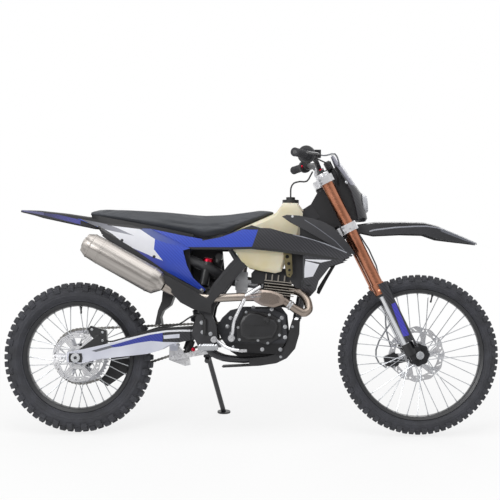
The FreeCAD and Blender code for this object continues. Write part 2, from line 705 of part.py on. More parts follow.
def swingarm():
    x, z = REAR_AXLE_X, REAR_AXLE_Z
    outline = [(x - 38, z + 22), (x + 35, z + 38), (-655, 391), (-552, 421), (-431, 460), (-289, 470),
               (-200, 462), (-196, 420), (-289, 410), (-371, 393), (-422, 365), (-474, 350), (-681, 326),
               (x + 20, z - 26), (x - 38, z - 18)]
    parts = []
    for s in (-1, 1):
        arm = plate(outline, *sorted((s * 84, s * 97)))
        wide = plate(outline[:6] + outline[8:], *sorted((s * 84, s * 108)))
        parts.append(fuse(arm, wide))
    cross = box(-438, -352, -90, 90, 386, 438)
    pivot = across(PIVOT_X, PIVOT_Z, -97, 97, 21)
    lugs = [plate([(-388, 390), (-344, 390), (-352, 362), (-380, 362)], y, y + 9) for y in (-37, 28)]
    out = fuse(parts[0], parts[1], cross, pivot, *lugs)
    return out.cut(across(x, z, -130, 130, R_AXLE_R))


def rear_axle():
    x, z = REAR_AXLE_X, REAR_AXLE_Z
    out = fuse(across(x, z, -116, 116, R_AXLE_R), across(x, z, -116, -108, 20), across(x, z, 108, 116, 20))
    return out.cut(true_cylinder(x, z, -130, 130, R_AXLE_HOLE_R))


def shock():
    top, low = (-172, 0, 772), (-318, 0, 338)
    d = V(*low) - V(*top)

    def on(t):
        p = V(*top) + d * t
        return (p.x, p.y, p.z)
    body = fuse(rod(on(0.02), on(0.64), 25), rod(on(0.62), on(0.97), 13), rod(on(0.84), on(0.94), 20))
    along = V(d.x, d.y, d.z).normalize()
    spring = skin([circle(V(*on(0.09 + 0.032 * k)), along, 36 if k % 2 else 27, 14) for k in range(19)])
    eye = across(top[0], top[2], -24, 24, 16)
    clevis = across(low[0], low[2] - 8, -24, 24, 16)
    tank = rod((-219, -58, 752), (-238, -58, 650), 22)
    arm = rod((-180, -10, 738), (-222, -58, 742), 12)
    return fuse(body, spring, eye, clevis, tank, arm)


def linkage():
    rocker = plate([(-386, 380), (-352, 388), (-300, 326), (-296, 300), (-318, 296), (-388, 322)], -28, 28)
    rods = []
    for s in (-1, 1):
        ya, yb = sorted((s * 40, s * 50))
        rods.append(plate([(-378, 318), (-370, 340), (-226, 372), (-214, 350)], ya, yb))
    pins = fuse(across(-366, 376, -40, 40, 8), across(-368, 329, -50, 50, 9))
    stay = across(-222, 360, -78, 78, 10)
    return fuse(rocker, *rods, pins, stay)


def stadium(xa, za, ra, xb, zb, rb, y0, y1):
    """The outline of a belt round two circles, as a plate."""
    d = V(xb - xa, 0, zb - za)
    base = math.atan2(d.z, d.x)
    off = math.acos((ra - rb) / d.Length)

    def on(x, z, r, a):
        return V(x + r * math.cos(a), y0, z + r * math.sin(a))
    up, lo = base + off, base - off
    edges = [Part.makeLine(on(xa, za, ra, up), on(xb, zb, rb, up)),
             Part.Arc(on(xb, zb, rb, up), on(xb, zb, rb, base), on(xb, zb, rb, lo)).toShape(),
             Part.makeLine(on(xb, zb, rb, lo), on(xa, za, ra, lo)),
             Part.Arc(on(xa, za, ra, lo), on(xa, za, ra, base + math.pi), on(xa, za, ra, up)).toShape()]
    return Part.Face(Part.Wire(edges)).extrude(V(0, y1 - y0, 0))


FRONT_SPROCKET_X, FRONT_SPROCKET_Z = -150.0, 452.0


def chain():
    """Side plates as two bands, with rollers on the two straight runs."""
    xa, za, xb, zb = REAR_AXLE_X, REAR_AXLE_Z, FRONT_SPROCKET_X, FRONT_SPROCKET_Z
    parts = []
    for y0, y1 in ((CHAIN_Y - 8.0, CHAIN_Y - 5.6), (CHAIN_Y + 5.6, CHAIN_Y + 8.0)):
        band = stadium(xa, za, SPROCKET_R + 6.5, xb, zb, FRONT_SPROCKET_R + 6.5, y0, y1)
        hollow = stadium(xa, za, SPROCKET_R - 6.5, xb, zb, FRONT_SPROCKET_R - 6.5, y0 - 1, y1 + 1)
        parts.append(band.cut(hollow))
    d = V(xb - xa, 0, zb - za)
    base, off = math.atan2(d.z, d.x), math.acos((SPROCKET_R - FRONT_SPROCKET_R) / d.Length)
    for a in (base + off, base - off):
        p = V(xa + SPROCKET_R * math.cos(a), 0, za + SPROCKET_R * math.sin(a))
        q = V(xb + FRONT_SPROCKET_R * math.cos(a), 0, zb + FRONT_SPROCKET_R * math.sin(a))
        for k in range(1, 9):
            c = p + (q - p) * (0.16 + 0.76 * k / 9.0)
            parts.append(box(c.x - 4, c.x + 4, CHAIN_Y - 5.6, CHAIN_Y + 5.6, c.z - 4, c.z + 4))
    return fuse(*parts)


def front_sprocket():
    gear = across(FRONT_SPROCKET_X, FRONT_SPROCKET_Z, CHAIN_Y - 3, CHAIN_Y + 3, FRONT_SPROCKET_R - 4)
    return fuse(gear, across(FRONT_SPROCKET_X, FRONT_SPROCKET_Z, 50, CHAIN_Y + 6, 14))


def chain_guide():
    xa, za = REAR_AXLE_X, REAR_AXLE_Z
    out = plate([(xa + 81, za + 9), (xa + 213, za + 25), (xa + 213, za - 64), (xa + 118, za - 131),
                 (xa + 80, za - 105)], CHAIN_Y - 13, CHAIN_Y + 13)
    slot = plate([(xa + 25, za - 135), (xa + 265, za - 69), (xa + 265, za - 19), (xa + 25, za - 85)],
                 CHAIN_Y - 9.6, CHAIN_Y + 9.6)
    hole = across(xa, za, 0, 200, SPROCKET_R + 12)
    return out.cut(slot).cut(hole)


def rear_caliper():
    x, z = REAR_AXLE_X, REAR_AXLE_Z
    body = plate([(x + 46, z + 124), (x + 60, z + 138), (x + 128, z + 118), (x + 132, z + 62), (x + 104, z + 52),
                  (x + 60, z + 96)], DISC_R_Y - 24, DISC_R_Y + DISC_T + 16)
    slot = across(x, z, DISC_R_Y - 2.5, DISC_R_Y + DISC_T + 2.5, DISC_R_R + 6)
    arm = plate([(x + 96, z + 100), (x + 120, z + 62), (x + 20, z - 14), (x - 14, z + 16)], DISC_R_Y - 28,
                DISC_R_Y - 14)
    return fuse(body.cut(slot), arm).cut(across(x, z, -130, 0, R_AXLE_R))


# Engine and exhaust


def rear_brake_hose():
    """The foot brake's cylinder and the hose that lies on the swingarm."""
    cylinder_body = rod((-226, -129, 436), (-226, -129, 500), 9)
    hose = pipe([(-226, -129, 496), (-240, -126, 526), (-290, -110, 512), (-340, -98, 474), (-431, -96, 463),
                 (-552, -94, 424), (-640, -90, 399), (-676, -78, 412), (-692, -60, 436)], 3.5, 8)
    return fuse(cylinder_body, hose)


def crankcase():
    outline = [(-155, 507), (-178, 470), (-160, 420), (-118, 362), (-84, 340), (98, 340), (124, 372), (138, 430),
               (128, 520), (100, 556), (-60, 556), (-120, 540)]
    core = plate(outline, -62, 56)
    right = plate([(-112, 505), (-120, 430), (-92, 362), (92, 350), (128, 420), (118, 520), (60, 548),
                   (-60, 545)], -96, -62)
    left = plate([(-90, 500), (-92, 400), (-60, 360), (90, 352), (120, 420), (112, 510), (60, 540), (-50, 540)],
                 56, 80)
    return fuse(core, right, left)


def clutch_cover():
    edge = [(-77, 483), (-63, 515), (-36, 529), (0, 528), (40, 514), (75, 499), (85, 476), (80, 452), (62, 425),
            (22, 418), (-40, 416), (-74, 432)]
    inner = skin([shrunk(edge, y, k) for y, k in ((-128, 0.88), (-123, 1.0), (-96, 1.0))])
    rib = plate([(-94, 469), (-86, 405), (8, 404), (40, 392), (104, 430), (100, 500), (52, 528), (-55, 540)],
                -108, -96)
    return fuse(inner, rib)


def ignition_cover():
    return fuse(across(45, 440, 80, 104, 62), across(45, 440, 104, 109, 44))


def cylinder():
    core = box(34, 136, -48, 48, 556, 652)
    fins = [box(18, 150, -62, 62, z, z + 4) for z in (606, 617, 628, 639)]
    base = box(22, 146, -56, 56, 556, 570)
    return turned(fuse(core, base, *fins))


def turned(shape):
    """The barrel leans a little to the front."""
    out = shape.copy()
    out.rotate(V(80, 0, 556), YAX, 6)
    return out


def cylinder_head():
    core = box(34, 136, -48, 48, 652, 676)
    fins = [box(16, 152, -64, 64, z, z + 4) for z in (652, 663)]
    top = [box(18 + 27 * k, 24 + 27 * k, -60, 60, 667, 694) for k in range(5)]
    plug = rod((85, 0, 676), (85, 0, 716), 11)
    return turned(fuse(core, *fins, *top, plug))


def carburettor():
    body = fuse(rod((-112, 0, 672), (44, 0, 650), 24), box(-100, -46, -26, 26, 628, 706),
                rod((-72, 0, 700), (-72, 0, 728), 22))
    return body


def airbox():
    box_part = plate([(-292, 690), (-300, 826), (-470, 848), (-470, 764), (-400, 700)], -62, 62)
    boot = pipe([(-112, 0, 672), (-160, -32, 690), (-222, -66, 726), (-300, -40, 758)], 23)
    return fuse(box_part, boot)


def exhaust_header():
    return pipe([(138, -30, 628), (176, -52, 624), (212, -84, 592), (222, -112, 545), (200, -128, 527),
                 (160, -132, 548), (110, -134, 585)], PIPE_R, 16, 3)


def resonance_box():
    profile = [(-23, 606), (14, 629), (60, 624), (104, 609), (120, 588), (108, 566), (70, 553), (18, 560),
               (-14, 578)]
    return skin([shrunk(profile, y, k) for y, k in ((-168, 0.72), (-158, 1.0), (-114, 1.0), (-104, 0.72))])


def mid_pipe():
    return pipe([(0, -140, 597), (-80, -139, 597), (-200, -142, 590), (-300, -152, 598), (-370, -172, 622),
                 (-402, -186, 640)], PIPE_R, 16)


def muffler():
    a, b = V(-402, -186, 640), V(-738, -190, 827)
    d = (b - a).normalize()
    n = V(-d.z, 0, d.x)
    wires = []
    for t, h, w in ((0, 20, 20), (30, 52, 42), (60, 56, 45), (300, 56, 45), (356, 54, 44), (384, 40, 32)):
        c = a + d * t
        pts = [c + n * (h * math.sin(q)) + YAX * (w * math.cos(q))
               for q in [2 * math.pi * k / 20 for k in range(20)]]
        wires.append(pts)
    body = skin(wires)
    stay = plate([(-660, 828), (-600, 800), (-612, 760), (-650, 776)], -150, -76)
    return fuse(body, stay)


# Bodywork, tank and seat


def fuel_tank():
    outline = [(-112, 800), (-80, 750), (-45, 718), (10, 704), (75, 694), (104, 702), (118, 740), (124, 800),
               (180, 850), (196, 910), (200, 968), (172, 1006), (108, 1008), (76, 963), (9, 933), (-60, 903),
               (-106, 881)]
    body = skin([shrunk(outline, y, k) for y, k in ((-92, 0.84), (-82, 0.95), (-64, 1.0), (64, 1.0),
                                                          (82, 0.95), (92, 0.84))])
    tunnel = plate([(-140, 770), (240, 1000), (260, 640), (-140, 640)], -80, 80)
    return body.cut(tunnel)


def filler_cap():
    return fuse(rod((140, 0, 1002), (140, 0, 1024), 36), rod((140, 0, 1024), (140, 0, 1036), 20))


def breather_hose():
    end = fork_point(-112)
    return pipe([(140, 0, 1034), (140, 0, 1078), (152, 0, 1100), (180, 0, 1106), (212, 0, 1104), end], 3.5, 8)


# stations of the seat: x, underside, top, half width
SEAT = [(-736, 946, 970, 62), (-690, 939, 972, 96), (-560, 914, 968, 112), (-400, 884, 960, 112),
        (-230, 848, 946, 98), (-140, 866, 950, 88), (-40, 914, 963, 74), (30, 942, 975, 60), (70, 962, 974, 40)]


def under_seat(x):
    for (xa, za, _, _), (xb, zb, _, _) in zip(SEAT, SEAT[1:]):
        if xa <= x <= xb:
            return za + (zb - za) * (x - xa) / (xb - xa)
    return SEAT[0][1] if x < SEAT[0][0] else SEAT[-1][1]


def seat():
    return skin([section(x, w, (b - a) / 2, (a + b) / 2) for x, a, b, w in SEAT])


def bowed(points, s, y_out, rise, radius, flare=0.0, t=5.0):
    """A thin panel on one side, bent over a long cylinder and flared to the front."""
    low = V(-1200, y_out - radius, rise)
    outer = Part.makeCylinder(radius, 2400, low, V(1, 0, 0))
    shell = outer.cut(Part.makeCylinder(radius - t, 2400, low, V(1, 0, 0)))
    shell.rotate(V(0, 0, 0), V(0, 0, 1), flare)
    out = plate(points, 20, 320).common(shell)
    out = max(out.Solids, key=lambda q: q.Volume)
    return out if s > 0 else mirror(out)


SHROUD = [(-458, 888), (-373, 848), (-284, 801), (-112, 801), (-29, 803), (85, 791), (202, 777), (265, 765),
          (357, 758), (407, 776), (386, 790), (336, 815), (251, 840), (193, 858), (123, 872), (52, 893),
          (11, 894), (-28, 906), (-134, 865), (-222, 843), (-311, 858)]
WING = [(102, 944), (123, 951), (176, 948), (230, 936), (279, 921), (322, 897), (364, 854), (393, 818),
        (417, 782), (386, 783), (336, 808), (265, 849), (194, 888), (141, 916)]
LOUVRE = [(200, 776), (200, 678), (188, 673), (188, 624), (227, 602), (251, 629), (262, 668), (311, 731),
          (386, 757)]
PANEL = [(-786, 934), (-656, 913), (-549, 907), (-512, 895), (-461, 892), (-375, 853), (-290, 806),
         (-323, 796), (-306, 731), (-280, 679), (-227, 630), (-235, 618), (-250, 606), (-296, 636), (-375, 679),
         (-446, 713), (-506, 741), (-549, 783), (-595, 821), (-642, 858), (-689, 895)]


def shrouds():
    return Part.makeCompound([bowed(SHROUD, s, 137, 850, 420, 2.6) for s in (-1, 1)])


def shroud_wings():
    return Part.makeCompound([bowed(WING, s, 137, 850, 420, 2.6) for s in (-1, 1)])


def lower_shrouds():
    return Part.makeCompound([bowed(LOUVRE, s, 137, 850, 420, 2.6) for s in (-1, 1)])


def side_panels():
    return Part.makeCompound([bowed(PANEL, s, 124, 800, 500, 1.0) for s in (-1, 1)])


def rear_fender():
    stations = [(-1043, 976, 970, 34), (-958, 973, 944, 58), (-829, 959, 917, 76), (-730, 944, 897, 84),
                (-600, 915, 888, 84), (-480, 905, 882, 84)]
    return skin([arch(*s) for s in stations])


def mud_flap():
    return plate([(-413, 640), (-419, 578), (-435, 537), (-448, 475), (-419, 478), (-424, 509), (-413, 536),
                  (-381, 560), (-350, 640), (-350, 716), (-404, 716)], -56, 56)


def radiators():
    one = box(192, 228, 62, 128, 645, 836)
    tank_top = box(188, 232, 60, 130, 836, 856)
    louvres = [box(227, 238, 66, 124, z, z + 5) for z in range(662, 830, 28)]
    posts = [box(228, 238, y, y + 4, 652, 830) for y in (62, 124)]
    return pair(fuse(one, tank_top, box(20, 192, 93, 97, 760, 786), *louvres, *posts))


def skid_plate():
    outer = [(182, 500), (180, 440), (162, 376), (126, 334), (80, 312), (10, 301), (-150, 292)]
    inner = [(x - 5, z + 6) for x, z in outer]
    pan = plate(outer + inner[::-1], -84, 84)
    cheek = plate(outer[:6] + [(-36, 301), (-36, 333), (40, 341), (92, 356), (120, 392), (132, 440), (150, 500)],
                  78, 84)
    return fuse(pan, cheek, mirror(cheek))


def footpegs():
    one = fuse(box(-250, -168, 140, 236, 372, 390), box(-232, -186, 122, 140, 366, 396))
    return pair(one.cut(box(-236, -182, 152, 228, 371, 391)))


def brake_pedal():
    arm = pipe([(-176, -132, 412), (-150, -134, 392), (-120, -140, 374), (-62, -146, 366)], 7)
    return fuse(arm, across(-186, 414, -142, -122, 14), box(-78, -44, -172, -132, 362, 374))


def gear_lever():
    arm = pipe([(-50, 112, 388), (10, 116, 384), (70, 122, 392)], 6)
    return fuse(arm, across(-50, 388, 80, 118, 10), across(70, 392, 118, 158, 8))


def kick_starter():
    arm = pipe([(-114, -118, 422), (-106, -124, 448), (-104, -132, 484), (-92, -140, 515), (-65, -146, 570),
                (-48, -150, 606)], 8)
    return fuse(arm, across(-112, 420, -130, -90, 15), rod((-50, -148, 604), (14, -156, 642), 9))


# Side stand

STAND_D = V(STAND_FOOT_X, STAND_FOOT_Y, 0) - V(*STAND_PIVOT)
STAND_D.z = STAND_FOOT_Y * math.tan(math.radians(LEAN)) - STAND_PIVOT[2]
STAND_BACK = V(-0.99, 0.10, -0.02)
STAND_AXIS = STAND_D.cross(STAND_BACK).normalize()
GROUND_UP = V(0, -math.sin(math.radians(LEAN)), math.cos(math.radians(LEAN)))


def side_stand():
    p = V(*STAND_PIVOT)
    foot = V(STAND_FOOT_X, STAND_FOOT_Y, STAND_FOOT_Y * math.tan(math.radians(LEAN)))
    d = foot - p
    heel = foot - d.normalize() * 6
    leg = rod((p.x, p.y, p.z), (heel.x, heel.y, heel.z), 11)
    top = foot + GROUND_UP * 7
    pad = rod((foot.x, foot.y, foot.z), (top.x, top.y, top.z), 30)
    head = Part.makeCylinder(15, 24, p - STAND_AXIS * 12, STAND_AXIS)
    return fuse(leg, pad, head).cut(Part.makeCylinder(6.5, 60, p - STAND_AXIS * 30, STAND_AXIS))


def stand_bracket():
    """The pin the stand turns on, and the lug that carries it."""
    p = V(*STAND_PIVOT)
    pin = Part.makeCylinder(6.0, 36, p - STAND_AXIS * 22, STAND_AXIS)
    base = Part.makeCylinder(12, 24, p - STAND_AXIS * 38, STAND_AXIS)
    cap = Part.makeCylinder(10, 4, p + STAND_AXIS * 13.5, STAND_AXIS)
    return fuse(pin, base, cap)


def build_chassis():
    return {
        "frame": fuse(frame(), stand_bracket()), "crankcase": crankcase(),
        "cylinder": fuse(cylinder(), cylinder_head()),
        "engine_covers": Part.makeCompound([clutch_cover(), ignition_cover()]),
        "subframe": subframe(), "swingarm": swingarm(), "linkage": linkage(), "shock_absorber": shock(),
        "rear_axle": rear_axle(), "rear_caliper": rear_caliper(), "rear_brake_hose": rear_brake_hose(),
        "chain": chain(),
        "front_sprocket": front_sprocket(), "chain_guide": chain_guide(), "carburettor": carburettor(),
        "airbox": fuse(airbox(), mud_flap()),
        "exhaust_pipe": fuse(resonance_box(), exhaust_header(), mid_pipe()), "muffler": muffler(),
        "fuel_tank": fuel_tank(), "filler_cap": filler_cap(),
        "tank_breather_hose": breather_hose(), "radiators": radiators(), "seat": seat(),
        "shrouds": shrouds(), "shroud_wings": shroud_wings(), "lower_shrouds": lower_shrouds(),
        "side_panels": side_panels(), "rear_fender": rear_fender(),
        "skid_plate": skid_plate(), "footpegs": footpegs(),
        "foot_controls": Part.makeCompound([brake_pedal(), gear_lever(), kick_starter()]),
    }


def meets(a, b):
    return a.BoundBox.intersect(b.BoundBox)


def fitted(nodes):
    """Cuts each piece by the ones before it, so that no two share any space."""
    done = {}
    for name, shape in nodes.items():
        others = [s for s in done.values() if meets(s, shape)]
        if others:
            shape = shape.cut(others)
            big = max(s.Volume for s in shape.Solids)
            shape = Part.makeCompound([s for s in shape.Solids if s.Volume > 0.04 * big])
        done[name] = shape
    return done


BODIES = {}


def all_nodes():
    BODIES["chassis"] = fitted(build_chassis())
    BODIES["steering"] = fitted(build_steering())
    BODIES["front_wheel"] = front_wheel()
    BODIES["rear_wheel"] = rear_wheel()
    BODIES["side_stand"] = {"side_stand": side_stand()}
    nodes = {}
    for body in BODIES.values():
        nodes.update(body)
    return nodes


def placed(nodes):
    """Leans the bike over to the left and centres it over the origin."""
    out, boxes = {}, []
    for name, shape in nodes.items():
        s = shape.copy()
        s.rotate(ORIGIN, V(1, 0, 0), -LEAN)
        out[name] = s
        boxes.append(s.BoundBox)
    shift = V(-(min(b.XMin for b in boxes) + max(b.XMax for b in boxes)) / 2,
              -(min(b.YMin for b in boxes) + max(b.YMax for b in boxes)) / 2, 0)
    for s in out.values():
        s.translate(shift)
    return out, shift


def main():
    out, shift = placed(all_nodes())
    for name, shape in out.items():
        shape.exportStep("parts/" + name + ".step")
    return out, shift


def in_row(p, shift):
    """A point of the upright bike as it stands, leaned and centred."""
    return FreeCAD.Rotation(V(1, 0, 0), -LEAN).multVec(V(*p)) + shift


if __name__ == "__main__":
    out, shift = main()
    for name, shape in out.items():
        print(name, len(shape.Solids), round(shape.Volume / 1000, 1), shape.isValid())
    print("shift", shift.x, shift.y, shift.z)
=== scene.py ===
# %% [markdown]
# A motocross bike that leans on its side stand. The measured solids of the bike come in
# first and stay where they are. Everything after that is finish: paint, rubber, cloth,
# hoses, bolts and the other small things that the solids leave out.

# %% Load the measured bike
import json
import math

import bmesh
import bpy
from mathutils import Matrix, Vector
from mathutils.bvhtree import BVHTree


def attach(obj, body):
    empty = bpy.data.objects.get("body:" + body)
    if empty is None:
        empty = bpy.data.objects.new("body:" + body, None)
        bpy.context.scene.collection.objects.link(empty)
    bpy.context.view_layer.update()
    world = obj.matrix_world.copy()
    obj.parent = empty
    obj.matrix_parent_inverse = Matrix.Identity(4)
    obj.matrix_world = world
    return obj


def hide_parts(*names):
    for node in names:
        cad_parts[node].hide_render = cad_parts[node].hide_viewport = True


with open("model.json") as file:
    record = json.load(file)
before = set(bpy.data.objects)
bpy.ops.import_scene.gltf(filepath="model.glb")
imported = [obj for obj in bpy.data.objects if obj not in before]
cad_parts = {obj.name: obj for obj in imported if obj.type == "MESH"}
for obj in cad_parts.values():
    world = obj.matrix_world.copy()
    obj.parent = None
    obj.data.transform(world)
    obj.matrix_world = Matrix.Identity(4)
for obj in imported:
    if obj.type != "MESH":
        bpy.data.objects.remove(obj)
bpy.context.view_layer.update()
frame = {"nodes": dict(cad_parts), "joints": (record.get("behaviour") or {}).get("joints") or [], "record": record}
NODES = frame["nodes"]

# %% [markdown]
# The bike is easier to think about when it stands upright: X to the front, Z up and the
# middle plane at Y = 0, in millimetres. The lean and the shift between that upright drawing
# and the parked bike are read from the wheel joints of the measured model, so another lean
# needs no change here.

# %% Upright bike to parked bike
REAR_AXLE_X, FRONT_AXLE_X = -785.0, 696.0

spins = {j["name"]: Vector(j["pos_m"]) for j in frame["joints"]}
axle_hole = next(m for m in frame["record"]["mounts"] if m["name"] == "rear_axle_hole")
LEAN = math.atan2(axle_hole["axis"][2], -axle_hole["axis"][1])
LEANING = Matrix.Rotation(-LEAN, 4, "X")
REAR_AXLE = Vector((REAR_AXLE_X, 0.0, 1000.0 * spins["rear_wheel_spin"].z / math.cos(LEAN)))
FRONT_AXLE = Vector((FRONT_AXLE_X, 0.0, 1000.0 * spins["front_wheel_spin"].z / math.cos(LEAN)))
SHIFT = spins["rear_wheel_spin"] - LEANING @ (REAR_AXLE * 0.001)
PARKED = Matrix.Translation(SHIFT) @ LEANING @ Matrix.Scale(0.001, 4)
UPRIGHT = PARKED.inverted()
print("lean", round(math.degrees(LEAN), 2), "axles at", round(REAR_AXLE.z, 1), round(FRONT_AXLE.z, 1))

# %% [markdown]
# The photograph is square to the leaning bike, from about six metres, with a long lens.
# The camera stands at the height and distance that the two wheels' ellipses give, and
# looks at a point a little below the seat.

# %% Camera
CAMERA_AT = (130.0, -6200.0, 560.0)
CAMERA_AIM = (-37.4, 0.0, 804.1)
CAMERA_LENS, SENSOR = 101.85, 36.0

camera = bpy.data.objects.new("camera", bpy.data.cameras.new("camera"))
bpy.context.scene.collection.objects.link(camera)
camera.location = PARKED @ Vector(CAMERA_AT)
aim = (PARKED @ Vector(CAMERA_AIM) - camera.location).to_track_quat("-Z", "Y")
camera.rotation_euler = aim.to_euler()
camera.data.lens = CAMERA_LENS
camera.data.sensor_width = SENSOR
bpy.context.scene.camera = camera
bpy.context.scene.view_settings.view_transform = "Standard"
print("camera", [round(v, 3) for v in camera.location])

# %% [markdown]
# Colours are picked as sRGB hex and have to be linear for the renderer, so one
# function turns them. One more function adds a node: lower-case names are the node's own
# settings, capital names its inputs, and _0, _1 its inputs by number. Every material below
# is built with those two.


# %% Colour and node helpers
def linear(hex_colour):
    """sRGB hex to a linear RGBA."""
    parts = [int(hex_colour[i:i + 2], 16) / 255 for i in (1, 3, 5)]
    return [c / 12.92 if c <= 0.04045 else ((c + 0.055) / 1.055) ** 2.4 for c in parts] + [1.0]


def node(tree_owner, kind, out=0, **given):
    """Adds a node with its settings and links, and returns one of its outputs."""
    tree = tree_owner.node_tree
    added = tree.nodes.new("ShaderNode" + kind)
    for key, value in given.items():
        if key[0].islower():
            setattr(added, key, value)
            continue
        named = [s for s in added.inputs if s.enabled and s.name == key.replace("_", " ")]
        socket = added.inputs[int(key[1:])] if key[0] == "_" else named[0]
        if isinstance(value, bpy.types.NodeSocket):
            tree.links.new(value, socket)
        else:
            socket.default_value = linear(value) if isinstance(value, str) else value
    return [s for s in added.outputs if s.enabled][out]


def surface(name, colour, roughness, metallic=0.0, ior=1.5, **sockets):
    """A material with its plain values set on the shader's own sockets."""
    mat = bpy.data.materials.new(name)
    mat.use_nodes = True
    shader = mat.node_tree.nodes["Principled BSDF"]
    plain = {"Base Color": linear(colour), "Roughness": roughness, "Metallic": metallic, "IOR": ior}
    plain.update({key.replace("_", " "): value for key, value in sockets.items()})
    for key, value in plain.items():
        shader.inputs[key].default_value = value
    return mat, shader


def feed(mat, shader, **outputs):
    """Links outputs into the shader's sockets."""
    for key, value in outputs.items():
        mat.node_tree.links.new(value, shader.inputs[key.replace("_", " ")])


print("helpers ready")

# %% [markdown]
# Patterns are worked out in the upright bike's millimetres, so that their size is a real
# size. A few looks come back again and again: a soft change of colour over a hand's width,
# and a grain that varies the roughness and catches the light.


# %% Looks shared by many finishes
def upright(mat):
    """The surface point in the upright bike's millimetres."""
    back = LEANING.inverted()
    return node(mat, "Mapping", Vector=node(mat, "TexCoord", out=3), Location=back @ (SHIFT * -1000.0),
                Rotation=(LEAN, 0.0, 0.0), Scale=(1000.0, 1000.0, 1000.0))


def clouded(mat, place, size_mm, first, second):
    """Two colours that drift into each other over size_mm."""
    cloud = node(mat, "TexNoise", Vector=place, Scale=1.0 / size_mm, Detail=3.0)
    share = node(mat, "MapRange", Value=cloud, From_Min=0.32, From_Max=0.68)
    return node(mat, "Mix", data_type="RGBA", Factor=share, A=first, B=second)


def grained(mat, shader, grain, depth_mm, low, high):
    """Roughness between low and high, and a relief depth_mm deep, both from one grain."""
    feed(mat, shader, Roughness=node(mat, "MapRange", Value=grain, From_Min=0.3, From_Max=0.7,
                                     To_Min=low, To_Max=high),
         Normal=node(mat, "Bump", Strength=1.0, Distance=depth_mm * 0.001, Height=grain))


def speckled(mat, shader, place, size_mm, depth_mm, low, high, detail=4.0):
    """Roughness and relief from a cloudy grain about size_mm wide."""
    grain = node(mat, "TexNoise", Vector=place, Scale=1.0 / size_mm, Detail=detail)
    grained(mat, shader, grain, depth_mm, low, high)


def cloudy(name, pair, cloud_mm, roughness, smoother, rougher, grain_mm, depth_mm, detail=4.0, **sockets):
    """A finish of two close colours with a grain that makes it smoother and rougher in spots."""
    mat, shader = surface(name, pair[0], roughness, **sockets)
    place = upright(mat)
    feed(mat, shader, Base_Color=clouded(mat, place, cloud_mm, *pair))
    speckled(mat, shader, place, grain_mm, depth_mm, roughness - smoother, roughness + rougher, detail)
    return mat


print("looks ready")

# %% [markdown]
# Studio: a pale floor that fades to white, a white surround, one large soft lamp above, one
# at the camera's side and a weak one behind. A lamp's power is worked out from the share of
# full brightness that it should give at its distance, so colours come out as written. The
# camera sees a white surround. Gloss sees it too, with a dim patch on the camera's side,
# which is the dark end of a real studio and draws the dark lines on chrome and paint.

# %% Lamps and surround
SURROUND = 0.46
DARK_END = 0.42
LAMPS = {"overhead": ((0.2, -0.9, 4.2), 3.2, 0.52), "camera_side": ((-2.6, -4.4, 3.0), 2.2, 0.30),
         "behind": ((1.5, 4.5, 2.8), 2.4, 0.18)}
MIDDLE = Vector((0, 0, 0.6))

for name, (place, size, share) in LAMPS.items():
    data = bpy.data.lights.new(name, "AREA")
    data.size = size
    data.energy = share * math.pi ** 2 * (Vector(place) - MIDDLE).length ** 2
    lamp = bpy.data.objects.new(name, data)
    lamp.location = place
    lamp.rotation_euler = (MIDDLE - lamp.location).to_track_quat("-Z", "Y").to_euler()
    bpy.context.scene.collection.objects.link(lamp)

world = bpy.data.worlds.new("surround")
bpy.context.scene.world = world
world.use_nodes = True
direction = node(world, "TexCoord", out=0)
aside, ahead, above = [node(world, "SeparateXYZ", out=i, Vector=direction) for i in range(3)]
sides = node(world, "MapRange", Value=node(world, "Math", operation="ABSOLUTE", _0=aside),
             From_Min=0.50, From_Max=0.80)
top = node(world, "MapRange", Value=above, From_Min=0.30, From_Max=0.70)
behind = node(world, "MapRange", Value=ahead, From_Min=-0.15, From_Max=0.25)
bright = node(world, "Math", operation="MAXIMUM", _0=sides,
              _1=node(world, "Math", operation="MAXIMUM", _0=top, _1=behind))
for_gloss = node(world, "MapRange", Value=bright, To_Min=DARK_END, To_Max=1.0)
is_gloss = node(world, "LightPath", out=3)
plainly_seen = node(world, "Math", operation="MAXIMUM", _0=node(world, "LightPath", out=0),
                    _1=node(world, "LightPath", out=6))
as_light = node(world, "Mix", data_type="FLOAT", Factor=is_gloss, A=SURROUND, B=for_gloss)
level = node(world, "Mix", data_type="FLOAT", Factor=plainly_seen, A=as_light, B=1.0)
background = world.node_tree.nodes["Background"]
background.inputs["Color"].default_value = (1.0, 1.0, 1.0, 1.0)
world.node_tree.links.new(level, background.inputs["Strength"])
print(len(LAMPS), "lamps")

# %% [markdown]
# The floor is matt white paper. Near the bike it takes the shadow, and farther out it turns
# into plain white light for the camera, so that no horizon shows.

# %% Floor
FADE_FROM, FADE_TO = 1.0, 2.2

floor_mesh = bpy.data.meshes.new("studio_floor")
floor_mesh.from_pydata([(-30, -30, 0), (30, -30, 0), (30, 30, 0), (-30, 30, 0)], [], [(0, 1, 2, 3)])
studio_floor = bpy.data.objects.new("studio_floor", floor_mesh)
bpy.context.scene.collection.objects.link(studio_floor)
paper, paper_shader = surface("studio_paper", "#F4F4F4", 0.9)
white = node(paper, "Emission", Color=(1, 1, 1, 1), Strength=1.0)
reach = node(paper, "VectorMath", out=0, operation="LENGTH", _0=node(paper, "TexCoord", out=3))
seen = node(paper, "Math", operation="MAXIMUM", _0=node(paper, "LightPath", out=0),
            _1=node(paper, "LightPath", out=3))
share = node(paper, "MapRange", Value=reach, From_Min=FADE_FROM, From_Max=FADE_TO, To_Min=0.80, To_Max=1.0)
mixed = node(paper, "MixShader", Fac=node(paper, "Math", operation="MULTIPLY", _0=seen, _1=share),
             _1=paper_shader.outputs[0], _2=white)
paper.node_tree.links.new(mixed, paper.node_tree.nodes["Material Output"].inputs[0])
floor_mesh.materials.append(paper)
print("floor ready")

